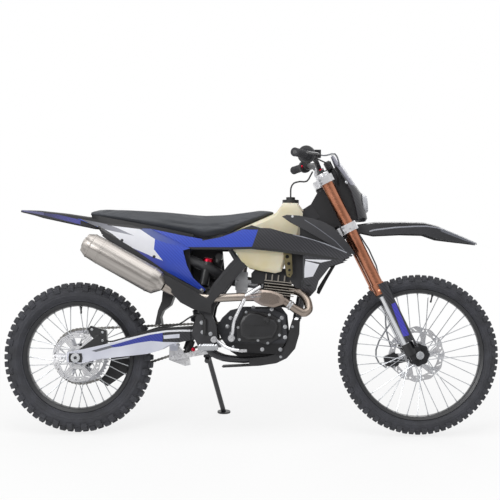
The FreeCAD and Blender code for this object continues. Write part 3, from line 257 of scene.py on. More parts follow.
# %% [markdown]
# Powder coat is ground paint baked on steel: the frame, bars and stand. It melts into a satin
# skin with a ripple like orange peel, about two millimetres across. Enamel on the engine and
# black anodising on the rims and calipers have a finer grain, and get the same treatment.


# %% Painted metal
def painted(name, colour, lighter, roughness=0.42, ripple_mm=2.2, depth_mm=0.05):
    """Cloudy paint with a ripple and a thin coat."""
    return cloudy(name, (colour, lighter), 90.0, roughness, 0.06, 0.08, ripple_mm, depth_mm, 3.0,
                  Coat_Weight=0.12, Coat_Roughness=0.3)


FRAME_BLACK = painted("powder_coat_black", "#242427", "#2E2E32")
ENGINE_BLACK = painted("engine_enamel_black", "#161618", "#202023", 0.36, 1.4, 0.08)
CALIPER_BLACK = painted("anodised_black_alloy", "#141416", "#1F1F22", 0.34, 0.8, 0.04)
RIM_BLACK = painted("anodised_black_rim", "#17181B", "#202125", 0.34, 0.7, 0.02)
SHOCK_BLACK = painted("shock_enamel_black", "#121214", "#1C1C1F", 0.35)
print("painted metal ready")

# %% [markdown]
# Bare metal: sand-cast aluminium is grainy and dull, machined aluminium is bright with fine
# tool marks, forged levers are polished, and zinc-plated steel is pale. The colour of a metal
# is the colour of its reflection, so it goes on a metallic shader.


# %% Bare metal
def bare(name, colour, other, roughness, grain_mm=1.2, depth_mm=0.05):
    """A cloudy metal with a grain."""
    return cloudy(name, (colour, other), 60.0, roughness, 0.08, 0.10, grain_mm, depth_mm, metallic=1.0)


CAST_ALLOY = bare("sand_cast_aluminium", "#C4C5C8", "#98999C", 0.42, 2.0, 0.06)
BILLET = bare("machined_aluminium", "#F0F0F2", "#E2E2E6", 0.34, 8.0, 0.004)
FORGED = bare("polished_forged_aluminium", "#E8E8EA", "#CCCCD0", 0.30, 9.0, 0.006)
STEEL = bare("zinc_plated_steel", "#D0D2D5", "#B0B2B6", 0.34, 2.0, 0.02)
CHAIN_STEEL = bare("oiled_chain_steel", "#A2A09C", "#6A6864", 0.36, 1.0, 0.06)
RADIATOR = bare("brazed_aluminium", "#77787A", "#57585A", 0.45, 1.2, 0.10)
BRONZE = bare("bronze_anodised_aluminium", "#BC8066", "#A0684E", 0.27, 8.0, 0.001)
CHROME = bare("hard_chromed_steel", "#D6D8DB", "#CCCED2", 0.10, 0.5, 0.004)
RED_ANODISED = bare("red_anodised_aluminium", "#C22239", "#A01A2E", 0.30, 0.6, 0.02)
BRASS = bare("drawn_brass", "#8E8464", "#6C644C", 0.38, 0.8, 0.03)
print("bare metal ready")

# %% [markdown]
# The barrel and head are cast aluminium with thin cooling fins. Machining brightens the
# fins' outer edges. The deep gaps get a dark, dusty colour that is also painted shade, the shade
# that falls between the fins, so the colour changes with the distance from the bike's middle
# plane: dark inside, bright in the last few millimetres. The crankcase is dark casting above a
# set height and black below it.


# %% Engine castings
PAINTED_SHADE_TO, BRIGHT_FROM = 56.0, 61.0
BLACK_TO, GREY_FROM = 395.0, 405.0


def finned():
    """Dust and painted shade between the fins, bright on their outer edges."""
    mat, shader = surface("finned_cast_aluminium", "#5A5753", 0.48, metallic=1.0)
    place = upright(mat)
    wide = node(mat, "Math", operation="ABSOLUTE", _0=node(mat, "SeparateXYZ", out=1, Vector=place))
    edge = node(mat, "MapRange", Value=wide, From_Min=PAINTED_SHADE_TO, From_Max=BRIGHT_FROM)
    # Painted shade: the gaps between the fins get a dark colour where the shade between them falls.
    fin_dust_and_painted_shade = clouded(mat, place, 30.0, "#24221F", "#33302C")
    feed(mat, shader, Base_Color=node(mat, "Mix", data_type="RGBA", Factor=edge, A=fin_dust_and_painted_shade, B="#A09A92"))
    speckled(mat, shader, place, 1.6, 0.15, 0.38, 0.58)
    return mat


def half_painted():
    """Black in the lower half, grey casting above."""
    mat, shader = surface("crankcase_casting", "#303135", 0.46, metallic=0.4)
    place = upright(mat)
    high = node(mat, "SeparateXYZ", out=2, Vector=place)
    upper = node(mat, "MapRange", Value=high, From_Min=BLACK_TO, From_Max=GREY_FROM)
    grey = clouded(mat, place, 80.0, "#3C3D42", "#2C2D31")
    feed(mat, shader, Base_Color=node(mat, "Mix", data_type="RGBA", Factor=upper, A="#1B1B1D", B=grey))
    speckled(mat, shader, place, 1.8, 0.18, 0.36, 0.56)
    return mat


FINNED, CRANKCASE = finned(), half_painted()
print("castings ready")

# %% [markdown]
# Stainless exhaust pipe takes straw, bronze and violet tints from heat. Real tints follow
# the temperature along the pipe, so the colour changes from the cylinder end at the front to
# the cooler pipe behind, broken up by cloudy patches. The silencer is the same steel, brushed
# along its length and never that hot.

# %% Exhaust finishes
HOT_END, COOL_END = 230.0, -260.0
TINTS = ((0.10, "#A69E96"), (0.35, "#9E948B"), (0.50, "#8E8484"), (0.62, "#92867E"), (0.80, "#8A7E75"),
         (0.92, "#9E9288"))
CAN_CLIMB = math.radians(29.1)


def heat_tinted():
    """Tints along the pipe, broken up by cloudy patches."""
    mat, shader = surface("heat_tinted_stainless", "#8F7768", 0.30, metallic=1.0)
    place = upright(mat)
    along = node(mat, "MapRange", Value=node(mat, "SeparateXYZ", out=0, Vector=place),
                 From_Min=COOL_END, From_Max=HOT_END)
    patches = node(mat, "TexNoise", Vector=place, Scale=1.0 / 45.0, Detail=4.0)
    heat = node(mat, "Math", operation="MULTIPLY_ADD", _0=patches, _1=0.30, _2=along)
    ramp = node(mat, "ValToRGB", Fac=node(mat, "Math", operation="SUBTRACT", _0=heat, _1=0.15))
    stops = ramp.node.color_ramp.elements
    stops[0].color, stops[1].color = linear("#A69E96"), linear("#92867C")
    for at, colour in TINTS:
        stops.new(at).color = linear(colour)
    feed(mat, shader, Base_Color=ramp)
    speckled(mat, shader, place, 3.0, 0.06, 0.24, 0.38, 5.0)
    return mat


def brushed_can():
    """Brushing runs along the can's axis, which climbs to the rear."""
    mat, shader = surface("brushed_stainless", "#B3ABA4", 0.36, metallic=1.0, Anisotropic=0.4)
    place = upright(mat)
    along = node(mat, "VectorRotate", rotation_type="Y_AXIS", Vector=place, Angle=-CAN_CLIMB)
    drawn = node(mat, "VectorMath", operation="MULTIPLY", _0=along, _1=(0.02, 1.0, 1.0))
    feed(mat, shader, Base_Color=clouded(mat, drawn, 12.0, "#BDB8B3", "#8F8A86"))
    speckled(mat, shader, drawn, 1.6, 0.03, 0.30, 0.46)
    return mat


HEADER, CAN = heat_tinted(), brushed_can()
print("exhaust finishes ready")

# %% [markdown]
# The tank is blow-moulded nylon, cream and slightly see-through: light scatters inside the
# wall, which a little subsurface gives, and it yellows in soft patches. The black plastics
# are moulded polypropylene with a fine spark-eroded grain. Hoses and grips are softer and
# duller rubber.


# %% Plastics and rubber
def moulded(name, colour, other, roughness, grain_mm=1.2, depth_mm=0.06, **sockets):
    """A cloudy plastic or rubber with a moulded grain."""
    return cloudy(name, (colour, other), 110.0, roughness, 0.05, 0.08, grain_mm, depth_mm, **sockets)


TANK = moulded("cream_nylon", "#E3DCC6", "#DACEA4", 0.36, 3.0, 0.05, Subsurface_Weight=0.12,
               Subsurface_Scale=0.008)
BLACK_PLASTIC = moulded("black_polypropylene", "#19191B", "#222225", 0.50)
HOSE = moulded("hose_rubber", "#161618", "#202022", 0.52, 0.8, 0.05)
GRIP = moulded("grip_rubber", "#26262A", "#303034", 0.70, 1.5, 0.15)
BRAIDED_HOSE = moulded("braided_brake_line", "#8E9196", "#74777C", 0.35, 1.0, 0.08)
print("plastics and rubber ready")

# %% [markdown]
# Tyre rubber comes out of the mould matt and nearly black, with a bluish bloom on the
# sidewall and lighter scuffs. The grain in the relief is coarser than real rubber's, about a
# millimetre, so that it still shows from six metres.


# %% Tyre rubber
def tyre_rubber():
    mat, shader = surface("knobbly_tyre_rubber", "#2C2D31", 0.74, ior=1.52, Sheen_Weight=0.06,
                          Sheen_Roughness=0.6)
    place = upright(mat)
    bloom = clouded(mat, place, 55.0, "#25262B", "#34353C")
    scuffs = node(mat, "TexNoise", Vector=place, Scale=1.0 / 9.0, Detail=6.0)
    scuffed = node(mat, "MapRange", Value=scuffs, From_Min=0.58, From_Max=0.75, To_Max=0.35)
    feed(mat, shader, Base_Color=node(mat, "Mix", data_type="RGBA", Factor=scuffed, A=bloom, B="#45464C"))
    speckled(mat, shader, place, 1.1, 0.10, 0.58, 0.80)
    return mat


TYRE = tyre_rubber()
print("tyre rubber ready")

# %% [markdown]
# The seat cover is vinyl on a knitted backing, with pebbles about two millimetres across
# pressed into it. The pebbles make the gloss break up softly.


# %% Seat vinyl
def seat_vinyl():
    mat, shader = surface("seat_vinyl", "#34373C", 0.56, Sheen_Weight=0.10, Sheen_Roughness=0.5)
    place = upright(mat)
    pebbles = node(mat, "TexVoronoi", Vector=place, Scale=1.0 / 2.0)
    feed(mat, shader, Base_Color=clouded(mat, place, 120.0, "#303338", "#3D4046"))
    grained(mat, shader, pebbles, 0.14, 0.48, 0.62)
    return mat


VINYL = seat_vinyl()
print("vinyl ready")

# %% [markdown]
# Printed colour areas on the plastic are cut from vinyl film with straight edges. Each is a
# convex shape in the side plane, so a point is inside when it is on the inner side of every
# edge: a dot product and a comparison for each edge, multiplied together. No picture is needed.


# %% Film shapes
def inside(mat, place, corners):
    """1 inside a convex outline of (x, z) corners in mm, 0 outside it."""
    middle = sum((Vector(c) for c in corners), Vector((0, 0))) / len(corners)
    share = None
    for a, b in zip(corners, corners[1:] + corners[:1]):
        a, b = Vector(a), Vector(b)
        normal = Vector((a.y - b.y, b.x - a.x)).normalized()
        if (middle - a).dot(normal) < 0:
            normal = -normal
        depth = node(mat, "VectorMath", operation="DOT_PRODUCT", _0=place, _1=(normal.x, 0.0, normal.y))
        edge = node(mat, "Math", operation="GREATER_THAN", _0=depth, _1=a.dot(normal))
        share = edge if share is None else node(mat, "Math", operation="MULTIPLY", _0=share, _1=edge)
    return share


print("film shapes ready")

# %% [markdown]
# Printed carbon film shows a two by two twill: bright and dark tows that step one place in
# each row, which reads as fine diagonals. The real tows are two millimetres wide. They are
# drawn at nearly four, so that they still show from six metres.


# %% Carbon film
TOW = 3.6
DARK_TOW, BRIGHT_TOW = ("#18181B", "#202024"), ("#36363D", "#2C2C32")


def twill(mat, place):
    """1 on a bright tow, 0 on a dark one."""
    tows = node(mat, "VectorMath", operation="SCALE", _0=place, Scale=1.0 / TOW)
    column, row = [node(mat, "Math", operation="FLOOR", _0=node(mat, "SeparateXYZ", out=i, Vector=tows))
                   for i in (0, 2)]
    step = node(mat, "Math", operation="ADD", _0=column, _1=row)
    phase = node(mat, "Math", operation="FLOORED_MODULO", _0=step, _1=4.0)
    return node(mat, "Math", operation="LESS_THAN", _0=phase, _1=2.0)


def carbon(mat, place):
    """Cloudy dark and bright tows in a twill."""
    dark, bright = [clouded(mat, place, 70.0, *pair) for pair in (DARK_TOW, BRIGHT_TOW)]
    return node(mat, "Mix", data_type="RGBA", Factor=twill(mat, place), A=dark, B=bright)


print("carbon film ready")

# %% [markdown]
# Body panels are moulded plastic under printed film with a clear gloss laminate. Each panel
# starts with its ground colour and gets film shapes over it, in the order in which they
# would be laid. The clear laminate is the shader's coat, and a rougher film has less of it.
# Some areas are printed as a fade.


# %% Panel film
COAT_LOSS = 2.2


def paint_of(mat, place, paint):
    """A cloudy pair of colours, a woven pair, or a fade from one to the other along X."""
    if paint == "carbon":
        return carbon(mat, place)
    if len(paint) == 4:
        share = node(mat, "MapRange", Value=node(mat, "SeparateXYZ", out=0, Vector=place), From_Min=paint[2],
                     From_Max=paint[3])
        return node(mat, "Mix", data_type="RGBA", Factor=share, A=paint[0], B=paint[1])
    if len(paint) == 3:
        return node(mat, "Mix", data_type="RGBA", Factor=twill(mat, place), A=paint[0], B=paint[1])
    return clouded(mat, place, 110.0, *paint)


def film(name, ground, layers, roughness=0.34):
    """Layers are a paint and the convex outlines that it covers, in the order of laying."""
    coat = max(0.0, 1.0 - COAT_LOSS * roughness)
    mat, shader = surface(name, "#808080", roughness, Coat_Weight=coat, Coat_Roughness=0.15)
    place = upright(mat)
    colour = paint_of(mat, place, ground)
    for paint, outlines in layers:
        share = inside(mat, place, outlines[0])
        for outline in outlines[1:]:
            share = node(mat, "Math", operation="MAXIMUM", _0=share, _1=inside(mat, place, outline))
        colour = node(mat, "Mix", data_type="RGBA", Factor=share, A=colour, B=paint_of(mat, place, paint))
    feed(mat, shader, Base_Color=colour)
    speckled(mat, shader, place, 1.5, 0.015, roughness - 0.05, roughness + 0.06, 3.0)
    return mat


def ribbon(upper, lower):
    """The four-sided pieces between two lines of corners."""
    return [[a, b, d, c] for a, b, c, d in zip(upper, upper[1:], lower, lower[1:])]


def stripe(line, x_step, z_step):
    """The ribbon between a line and its copy moved by the steps."""
    return ribbon(line, [(x + x_step, z + z_step) for x, z in line])


BLUE = ("#2440AC", "#2D4ABB", "woven")
VIOLET_TO_BLUE = ("#4C4A98", "#2644B2", -560.0, -380.0)
SLATE_TO_BLUE = ("#525E88", "#2644B2", -500.0, -330.0)
DEEP_BLUE = ("#28328C", "#35419C", "woven")
GUARD_BLUE = ("#3936A6", "#4643B4", "woven")
TAIL_VIOLET = ("#31314E", "#43438C", -940.0, -790.0)
WHITE = ("#E9EAEF", "#DADBE2")
PALE = ("#D2D4DE", "#C4C6D3")
LILAC = ("#5C5C80", "#4A4A6C")
BLADE = ("#3E3F46", "#8C8E98", -780.0, -560.0)
MID_GREY = ("#6E7078", "#5E6068")
LINE_GREY = ("#9A9CA4", "#84868E")
EDGE_BLACK = ("#131316", "#1B1B1E")
DULL_BLACK = ("#1E1E22", "#28282C")
print("film and paints ready")

# %% [markdown]
# The film layouts of the panels, as outlines in the side plane. Narrow bands
# follow a bent edge, so they are cut as ribbons of four-sided pieces.

# %% Side panel, shroud and wing
PANEL_TOP = [(-800, 946), (-656, 917), (-549, 911), (-512, 899), (-461, 896), (-375, 857), (-283, 808)]
PANEL_FOOT = [(-700, 890), (-642, 856), (-595, 819), (-549, 781), (-506, 739), (-446, 711), (-375, 677),
              (-296, 634), (-236, 600)]
SIDE_PANEL = film("side_panel_film", BLUE, [
    (VIOLET_TO_BLUE, [[(-584, 827), (-449, 779), (-353, 729), (-353, 686), (-467, 715), (-545, 765)]]),
    (SLATE_TO_BLUE, [[(-517, 892), (-463, 888), (-303, 807), (-395, 828), (-445, 845)]]),
    (WHITE, [[(-652, 907), (-517, 892), (-445, 845), (-449, 800), (-581, 822), (-698, 896)],
             [(-449, 801), (-410, 752), (-467, 773), (-481, 793)], [(-581, 823), (-449, 801), (-463, 773)],
             [(-723, 908), (-652, 884), (-581, 821), (-698, 896)]]),
    (BLADE, [[(-790, 941), (-680, 920), (-652, 884), (-723, 908)],
             [(-680, 920), (-609, 893), (-534, 859), (-652, 884)]]),
    (EDGE_BLACK, [[(-670, 940), (-500, 920), (-500, 887), (-517, 889), (-652, 905)]]
     + stripe(PANEL_TOP, -2, -7) + stripe(PANEL_FOOT, 9, 13)),
])
SHROUD_TOP = [(-240, 852), (-162, 874), (-66, 914), (30, 914)]
SHROUD_FOOT = [(-300, 811), (-112, 811), (-29, 813), (85, 803), (202, 789), (265, 779), (345, 764)]
SHROUD_LINE = [(150, 869), (182, 861), (231, 849), (280, 832), (330, 812), (380, 791)]
SHROUD = film("shroud_film", BLUE, [
    ("carbon", [[(8, 915), (60, 905), (430, 830), (430, 740), (-50, 740), (-24, 816)]]),
    (EDGE_BLACK, ribbon(SHROUD_TOP, [(-240, 838), (-162, 853), (-66, 887), (9, 886)])
     + stripe(SHROUD_FOOT, 0, -24)),
    (LINE_GREY, stripe(SHROUD_LINE, 0, -5)),
])
CREASE = [(200, 931), (240, 906), (270, 885), (330, 841), (374, 796)]
WING = film("wing_film", DULL_BLACK, [
    (MID_GREY, stripe(CREASE, -1, -3.5)),
], 0.42)
LOUVRE = film("lower_shroud_film", "carbon", [
    (WHITE, [[(204, 753), (263, 739), (237, 687), (195, 680)],
             [(204, 760), (318, 757), (270, 746), (204, 756)]]),
])
print("panel film ready")

# %% Fenders, mask, fork guards and swingarm
# On the front fender, the light grey line along the top is a painted highlight, and the mid-grey patch at the
# front tip is painted sheen.
FENDER_HIGHLIGHT = [(482, 888), (504, 894), (592, 905), (675, 910), (730, 911), (775, 905), (800, 898)]
FRONT_FENDER = film("front_fender_film_and_painted_sheen", DULL_BLACK, [
    (EDGE_BLACK, ribbon([(400, 950), (592, 950), (730, 950), (800, 940)],
                        [(400, 885), (592, 904), (730, 910), (800, 898)])),
    (MID_GREY, [[(790, 912), (880, 876), (990, 826), (985, 812), (880, 852), (790, 880)]]),
    (LINE_GREY, stripe(FENDER_HIGHLIGHT, 0, -6)),
], 0.42)
REAR_FENDER = film("rear_fender_film", EDGE_BLACK, [
    (LILAC, ribbon([(-1040, 977), (-938, 962)], [(-1040, 969), (-938, 950)])),
    (TAIL_VIOLET, ribbon([(-938, 961), (-874, 953), (-773, 929)], [(-938, 950), (-874, 934), (-773, 909)])),
], 0.60)
MASK = film("mask_film", "carbon", [
    (("#8C8C9A", "#747482"), [[(300, 1260), (420, 1260), (440, 1085), (400, 1085), (330, 1180)]]),
], 0.36)
FORK_GUARD = film("fork_guard_film", "carbon", [
    (GUARD_BLUE, [[(572, 569), (589, 577), (649, 438), (623, 431)]]),
], 0.40)
ARM_LINE = [(-660, 396), (-592, 411), (-557, 418), (-468, 440), (-394, 452), (-336, 455), (-190, 455)]
SWINGARM = film("swingarm_silver", PALE, [
    ("carbon", [[(-409, 447), (-336, 452), (-190, 452), (-190, 400), (-300, 400), (-409, 402)]]),
    (DEEP_BLUE, ribbon([(-636, 385), (-592, 397), (-518, 419), (-468, 432), (-409, 447)],
                       [(-636, 375), (-592, 381), (-518, 397), (-458, 406), (-409, 402)])),
    (MID_GREY, [[(-716, 362), (-636, 385), (-620, 378), (-696, 357)]]),
    (EDGE_BLACK, ribbon([(-560, 470), (-468, 490), (-190, 500)], [(-557, 418), (-468, 440), (-190, 455)])),
    (WHITE, stripe(ARM_LINE, 0, -8)),
    (PALE, [[(-406, 430), (-336, 437), (-336, 420), (-404, 415)]]),
], 0.34)
print("fender, mask, fork guard and swingarm film ready")

# %% [markdown]
# Brake discs are ground flat on a rotary table, which leaves fine rings round the axle. The
# pattern is a wave over the distance from the axle. The real pitch is a few tenths of a
# millimetre, drawn at six so that it shows from six metres. Sprockets are turned the same way.


# %% Disc and sprocket finish
def ground_flat(name, centre, colour, other, roughness, pitch_mm):
    """Bright metal with fine rings round a centre."""
    mat, shader = surface(name, colour, roughness, metallic=1.0, Anisotropic=0.5)
    place = upright(mat)
    out = node(mat, "VectorMath", operation="SUBTRACT", _0=place, _1=centre)
    radius = node(mat, "VectorMath", operation="LENGTH",
                  _0=node(mat, "VectorMath", operation="MULTIPLY", _0=out, _1=(1, 0, 1)))
    rings = node(mat, "Math", operation="SINE",
                 _0=node(mat, "Math", operation="MULTIPLY", _0=radius, _1=math.tau / pitch_mm))
    ridge = node(mat, "MapRange", Value=rings, From_Min=-1.0, From_Max=1.0)
    feed(mat, shader, Base_Color=clouded(mat, place, 30.0, colour, other))
    grained(mat, shader, ridge, 0.02, roughness - 0.06, roughness + 0.08)
    return mat


FRONT_DISC = ground_flat("ground_steel_front", FRONT_AXLE, "#ECECEE", "#DCDCE0", 0.30, 6.0)
REAR_DISC = ground_flat("ground_steel_rear", REAR_AXLE, "#ECECEE", "#DCDCE0", 0.30, 6.0)
SPROCKET = ground_flat("anodised_sprocket", REAR_AXLE, "#D6D6DA", "#C0C0C6", 0.34, 6.0)

# %% [markdown]
# The lamp's front is clear polycarbonate, moulded with shallow upright flutes that spread the
# beam. It refracts, so it needs transmission and the plastic's own IOR.

# %% Lamp lens
LENS, lens_shader = surface("clear_polycarbonate", "#D8DAE0", 0.22, ior=1.58, Transmission_Weight=0.3)
flutes = node(LENS, "TexWave", out=1, bands_direction="Y", Vector=upright(LENS), Scale=0.08)
grained(LENS, lens_shader, flutes, 0.4, 0.03, 0.08)
print("discs, sprocket and lens ready")

# %% [markdown]
# The measured solids stay as they are, but real edges are never razor sharp: castings have
# radii and sheet has rolled edges. A small set of nodes joins the triangles' shared corners and
# marks the soft edges, a bevel then rounds the sharp ones, and weighted normals keep the flat
# faces flat.

# %% Soften the edges of the solids
SOFT_ANGLE = math.radians(33.0)
MERGE = 0.00003
STEPS = {"weld": "GeometryNodeMergeByDistance", "clean": "GeometryNodeRemoveAttribute",
         "faces": "GeometryNodeSetShadeSmooth", "edges": "GeometryNodeSetShadeSmooth",
         "angle": "GeometryNodeInputMeshEdgeAngle", "sharp": "FunctionNodeCompare",
         "start": "NodeGroupInput", "end": "NodeGroupOutput"}

SOFTEN = bpy.data.node_groups.new("soften", "GeometryNodeTree")
for in_out in ("INPUT", "OUTPUT"):
    SOFTEN.interface.new_socket("Geometry", in_out=in_out, socket_type="NodeSocketGeometry")
step = {key: SOFTEN.nodes.new(kind) for key, kind in STEPS.items()}
step["weld"].inputs["Distance"].default_value = MERGE
step["clean"].inputs["Name"].default_value = "custom_normal"
step["edges"].domain = "EDGE"
step["edges"].inputs["Shade Smooth"].default_value = False
step["sharp"].inputs["B"].default_value = SOFT_ANGLE
order = [step[key] for key in ("start", "weld", "clean", "faces", "edges", "end")]
for a, b in zip(order, order[1:]):
    SOFTEN.links.new(a.outputs[0], b.inputs[0])
SOFTEN.links.new(step["angle"].outputs[0], step["sharp"].inputs["A"])
SOFTEN.links.new(step["sharp"].outputs[0], step["edges"].inputs["Selection"])


def softened(piece, edge_mm):
    """Adds the smoothing, and a bevel when edge_mm isn't 0."""
    piece.modifiers.new("soften", "NODES").node_group = SOFTEN
    if edge_mm:
        bevel = piece.modifiers.new("edge", "BEVEL")
        bevel.width = edge_mm * 0.001
        bevel.segments = 2
        bevel.angle_limit = SOFT_ANGLE
        piece.modifiers.new("flat", "WEIGHTED_NORMAL").keep_sharp = True


# %% [markdown]
# Each measured solid gets its finish and the radius of its edges in millimetres. Thin wires
# and turned rods get none.

# %% Finish the measured solids
FINISHES = (
    (FRAME_BLACK, 1.2, "frame"), (FRAME_BLACK, 0.8, "subframe side_stand"), (FRAME_BLACK, 0, "handlebar"),
    (CRANKCASE, 2.0, "crankcase"), (ENGINE_BLACK, 1.6, "engine_covers"), (FINNED, 0.6, "cylinder"),
    (ENGINE_BLACK, 0.8, "control_levers"), (SWINGARM, 1.6, "swingarm"), (SHOCK_BLACK, 1.0, "shock_absorber"),
    (FORGED, 1.2, "linkage"), (FORGED, 0.8, "foot_controls"), (STEEL, 0.8, "rear_axle front_axle"),
    (STEEL, 0.6, "footpegs"), (STEEL, 0, "front_spokes rear_spokes"), (CHAIN_STEEL, 0, "chain"),
    (CALIPER_BLACK, 1.4, "rear_caliper front_caliper fork_feet"), (CHAIN_STEEL, 0.5, "front_sprocket"),
    (BLACK_PLASTIC, 1.2, "chain_guide airbox filler_cap skid_plate"), (CAST_ALLOY, 1.2, "carburettor"),
    (HEADER, 0.8, "exhaust_pipe"), (CAN, 0.8, "muffler"), (TANK, 4.0, "fuel_tank"),
    (HOSE, 0, "tank_breather_hose bar_cables"), (HOSE, 0.4, "rear_brake_hose"),
    (BRAIDED_HOSE, 0, "front_brake_hose"), (RADIATOR, 0.8, "radiators"), (SHROUD, 0, "shrouds"),
    (WING, 0.8, "shroud_wings"), (LOUVRE, 0, "lower_shrouds"), (SIDE_PANEL, 0.8, "side_panels"),
    (REAR_FENDER, 0.8, "rear_fender"), (FRONT_FENDER, 0.8, "front_fender"), (FORK_GUARD, 0.8, "fork_guards"),
    (MASK, 0.8, "headlight_mask"), (LENS, 0.8, "headlight_lens"), (BILLET, 1.2, "upper_clamp lower_clamp"),
    (BRONZE, 0.5, "fork_tubes"), (CHROME, 0, "fork_rods"), (GRIP, 0.8, "bar_grips"),
    (RIM_BLACK, 0.8, "front_rim rear_rim front_hub rear_hub"), (FRONT_DISC, 0.3, "front_disc"),
    (REAR_DISC, 0.3, "rear_disc"), (SPROCKET, 0.3, "rear_sprocket"), (TYRE, 0, "front_tyre rear_tyre"),
    (VINYL, 0, "seat"),
)
FINISH_OF = {name: (mat, edge_mm) for mat, edge_mm, names in FINISHES for name in names.split()}
for name, piece in NODES.items():
    mat, edge_mm = FINISH_OF[name]
    piece.data.materials.clear()
    piece.data.materials.append(mat)
    softened(piece, edge_mm)
print("finished", len(NODES), "solids")

# %% [markdown]
# Small parts are drawn in the upright bike's millimetres with a few builders: a lathe for
# round parts, a tube along a line, an outline carried sideways or upwards, and a sheet with
# holes. Many parts of one kind go into one mesh.

# %% Builders for small parts
class Shape:
    """Points and faces of one piece, on the upright bike, in mm."""

    def __init__(self):
        self.points, self.faces = [], []

    def add(self, points, faces):
        start = len(self.points)
        self.points += [Vector(p) for p in points]
        self.faces += [[start + i for i in face] for face in faces]


def axes_of(direction):
    """Two unit vectors square to a direction."""
    d = Vector(direction).normalized()
    side = d.cross(Vector((0, 0, 1)) if abs(d.z) < 0.9 else Vector((1, 0, 0))).normalized()
    return side, d.cross(side)


def rings_joined(shape, rings, closed=False):
    """Skins rows of points; each row is a ring. Open rows get caps."""
    n, rows = len(rings[0]), len(rings)
    faces = []
    for i in range(rows if closed else rows - 1):
        for k in range(n):
            here, ahead = i * n, ((i + 1) % rows) * n
            faces.append([here + k, here + (k + 1) % n, ahead + (k + 1) % n, ahead + k])
    if not closed:
        faces += [list(range(n))[::-1], [(rows - 1) * n + k for k in range(n)]]
    shape.add([p for ring in rings for p in ring], faces)


def round_ring(centre, u, v, r, sides):
    """A circle of points in the plane of two unit vectors."""
    return [centre + u * (r * math.cos(math.tau * k / sides)) + v * (r * math.sin(math.tau * k / sides))
            for k in range(sides)]


def lathe(shape, profile, origin, direction, sides=16):
    """Turns (radius, height) steps about a direction from an origin."""
    origin, d = Vector(origin), Vector(direction).normalized()
    u, v = axes_of(d)
    rings_joined(shape, [round_ring(origin + d * h, u, v, max(r, 0.01), sides) for r, h in profile])


def tube(shape, line, radius, sides=10):
    """A round tube along a line, its ring carried on without twist."""
    u, _ = axes_of(line[1] - line[0])
    rings = []
    for i, p in enumerate(line):
        ahead = (line[min(i + 1, len(line) - 1)] - line[max(i - 1, 0)]).normalized()
        u = (u - ahead * u.dot(ahead)).normalized()
        rings.append(round_ring(p, u, ahead.cross(u), radius, sides))
    rings_joined(shape, rings)


def slab(shape, outline, y0, y1):
    """An (x, z) outline carried from y0 to y1."""
    rings_joined(shape, [[Vector((x, y, z)) for x, z in outline] for y in (y0, y1)])


def stack(shape, outline, heights):
    """An (x, y) outline carried up through the heights."""
    rings_joined(shape, [[Vector((x, y, z)) for x, y in outline] for z in heights])


def cut_sheet(shape, outline, y0, y1, holes=()):
    """A flat part with holes: a filled curve gives the triangles, and both faces use them."""
    curve = bpy.data.curves.new("sheet", "CURVE")
    curve.dimensions = "2D"
    curve.fill_mode = "BOTH"
    curve.extrude = abs(y1 - y0) / 2
    for edge in (outline, *holes):
        spline = curve.splines.new("POLY")
        spline.points.add(len(edge) - 1)
        for point, (x, z) in zip(spline.points, edge):
            point.co = (x, z, 0.0, 1.0)
        spline.use_cyclic_u = True
    holder = bpy.data.objects.new("sheet", curve)
    mesh = bpy.data.meshes.new_from_object(holder)
    middle = (y0 + y1) / 2
    shape.add([(v.co.x, middle - v.co.z, v.co.y) for v in mesh.vertices],
              [list(p.vertices) for p in mesh.polygons])
    bpy.data.objects.remove(holder)
    bpy.data.meshes.remove(mesh)


def polar(x, z, r, angle):
    """The (x, z) spot at a radius and an angle round (x, z)."""
    return x + r * math.cos(angle), z + r * math.sin(angle)


def circle(x, z, r, sides=16):
    """A round outline."""
    return [polar(x, z, r, math.tau * k / sides) for k in range(sides)]


def placed(shape, name, body, mat, edge_mm=0.0):
    """Turns a shape into a piece of the parked bike that rides on a body."""
    mesh = bpy.data.meshes.new(name)
    mesh.from_pydata([PARKED @ p for p in shape.points], [], shape.faces)
    whole = bmesh.new()
    whole.from_mesh(mesh)
    bmesh.ops.remove_doubles(whole, verts=whole.verts, dist=0.000002)
    bmesh.ops.recalc_face_normals(whole, faces=whole.faces)
    whole.to_mesh(mesh)
    whole.free()
    piece = bpy.data.objects.new(name, mesh)
    bpy.context.scene.collection.objects.link(piece)
    mesh.materials.append(mat)
    softened(piece, edge_mm)
    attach(piece, body)
    print(name, len(mesh.polygons), "faces")
    return piece


def turned(name, body, mat, rows, edge_mm=0.0):
    """A piece of lathe parts; each row is a profile, an origin, a direction and the sides."""
    shape = Shape()
    for row in rows:
        lathe(shape, *row)
    return placed(shape, name, body, mat, edge_mm)


# %% [markdown]
# A bolt drawn at a spot of the photograph still has to sit on the surface behind that spot.
# A ray from the side finds the outermost surface of the solids named, in the upright bike.

# %% Landing on a surface
TREES = {}
WASHER = 1.35


def surface_tree(name):
    """A solid's faces on the upright bike, ready for rays."""
    if name not in TREES:
        mesh = NODES[name].data
        TREES[name] = BVHTree.FromPolygons([UPRIGHT @ v.co for v in mesh.vertices],
                                           [list(p.vertices) for p in mesh.polygons])
    return TREES[name]


def landing(names, x, z, side=-1):
    """The outermost point of the named solids at (x, z), seen from that side, and its normal."""
    best = None
    for name in names:
        spot, normal, _, _ = surface_tree(name).ray_cast(Vector((x, side * 600.0, z)), Vector((0, -side, 0)))
        if spot and (best is None or side * spot.y > side * best[0].y):
            best = (spot, normal if normal.y * side > 0 else -normal)
    return best


def bolt(shape, at, direction, r, h):
    """A socket head on a washer, sunk a little into what it holds."""
    at, d = Vector(at), Vector(direction).normalized()
    lathe(shape, [(r * WASHER, -1.0), (r * WASHER, 0.9), (r, 1.0), (r, h * 0.8), (r * 0.85, h), (r * 0.5, h),
                  (r * 0.46, h * 0.45), (0.01, h * 0.42)], at, d, 12)


print("builders ready")

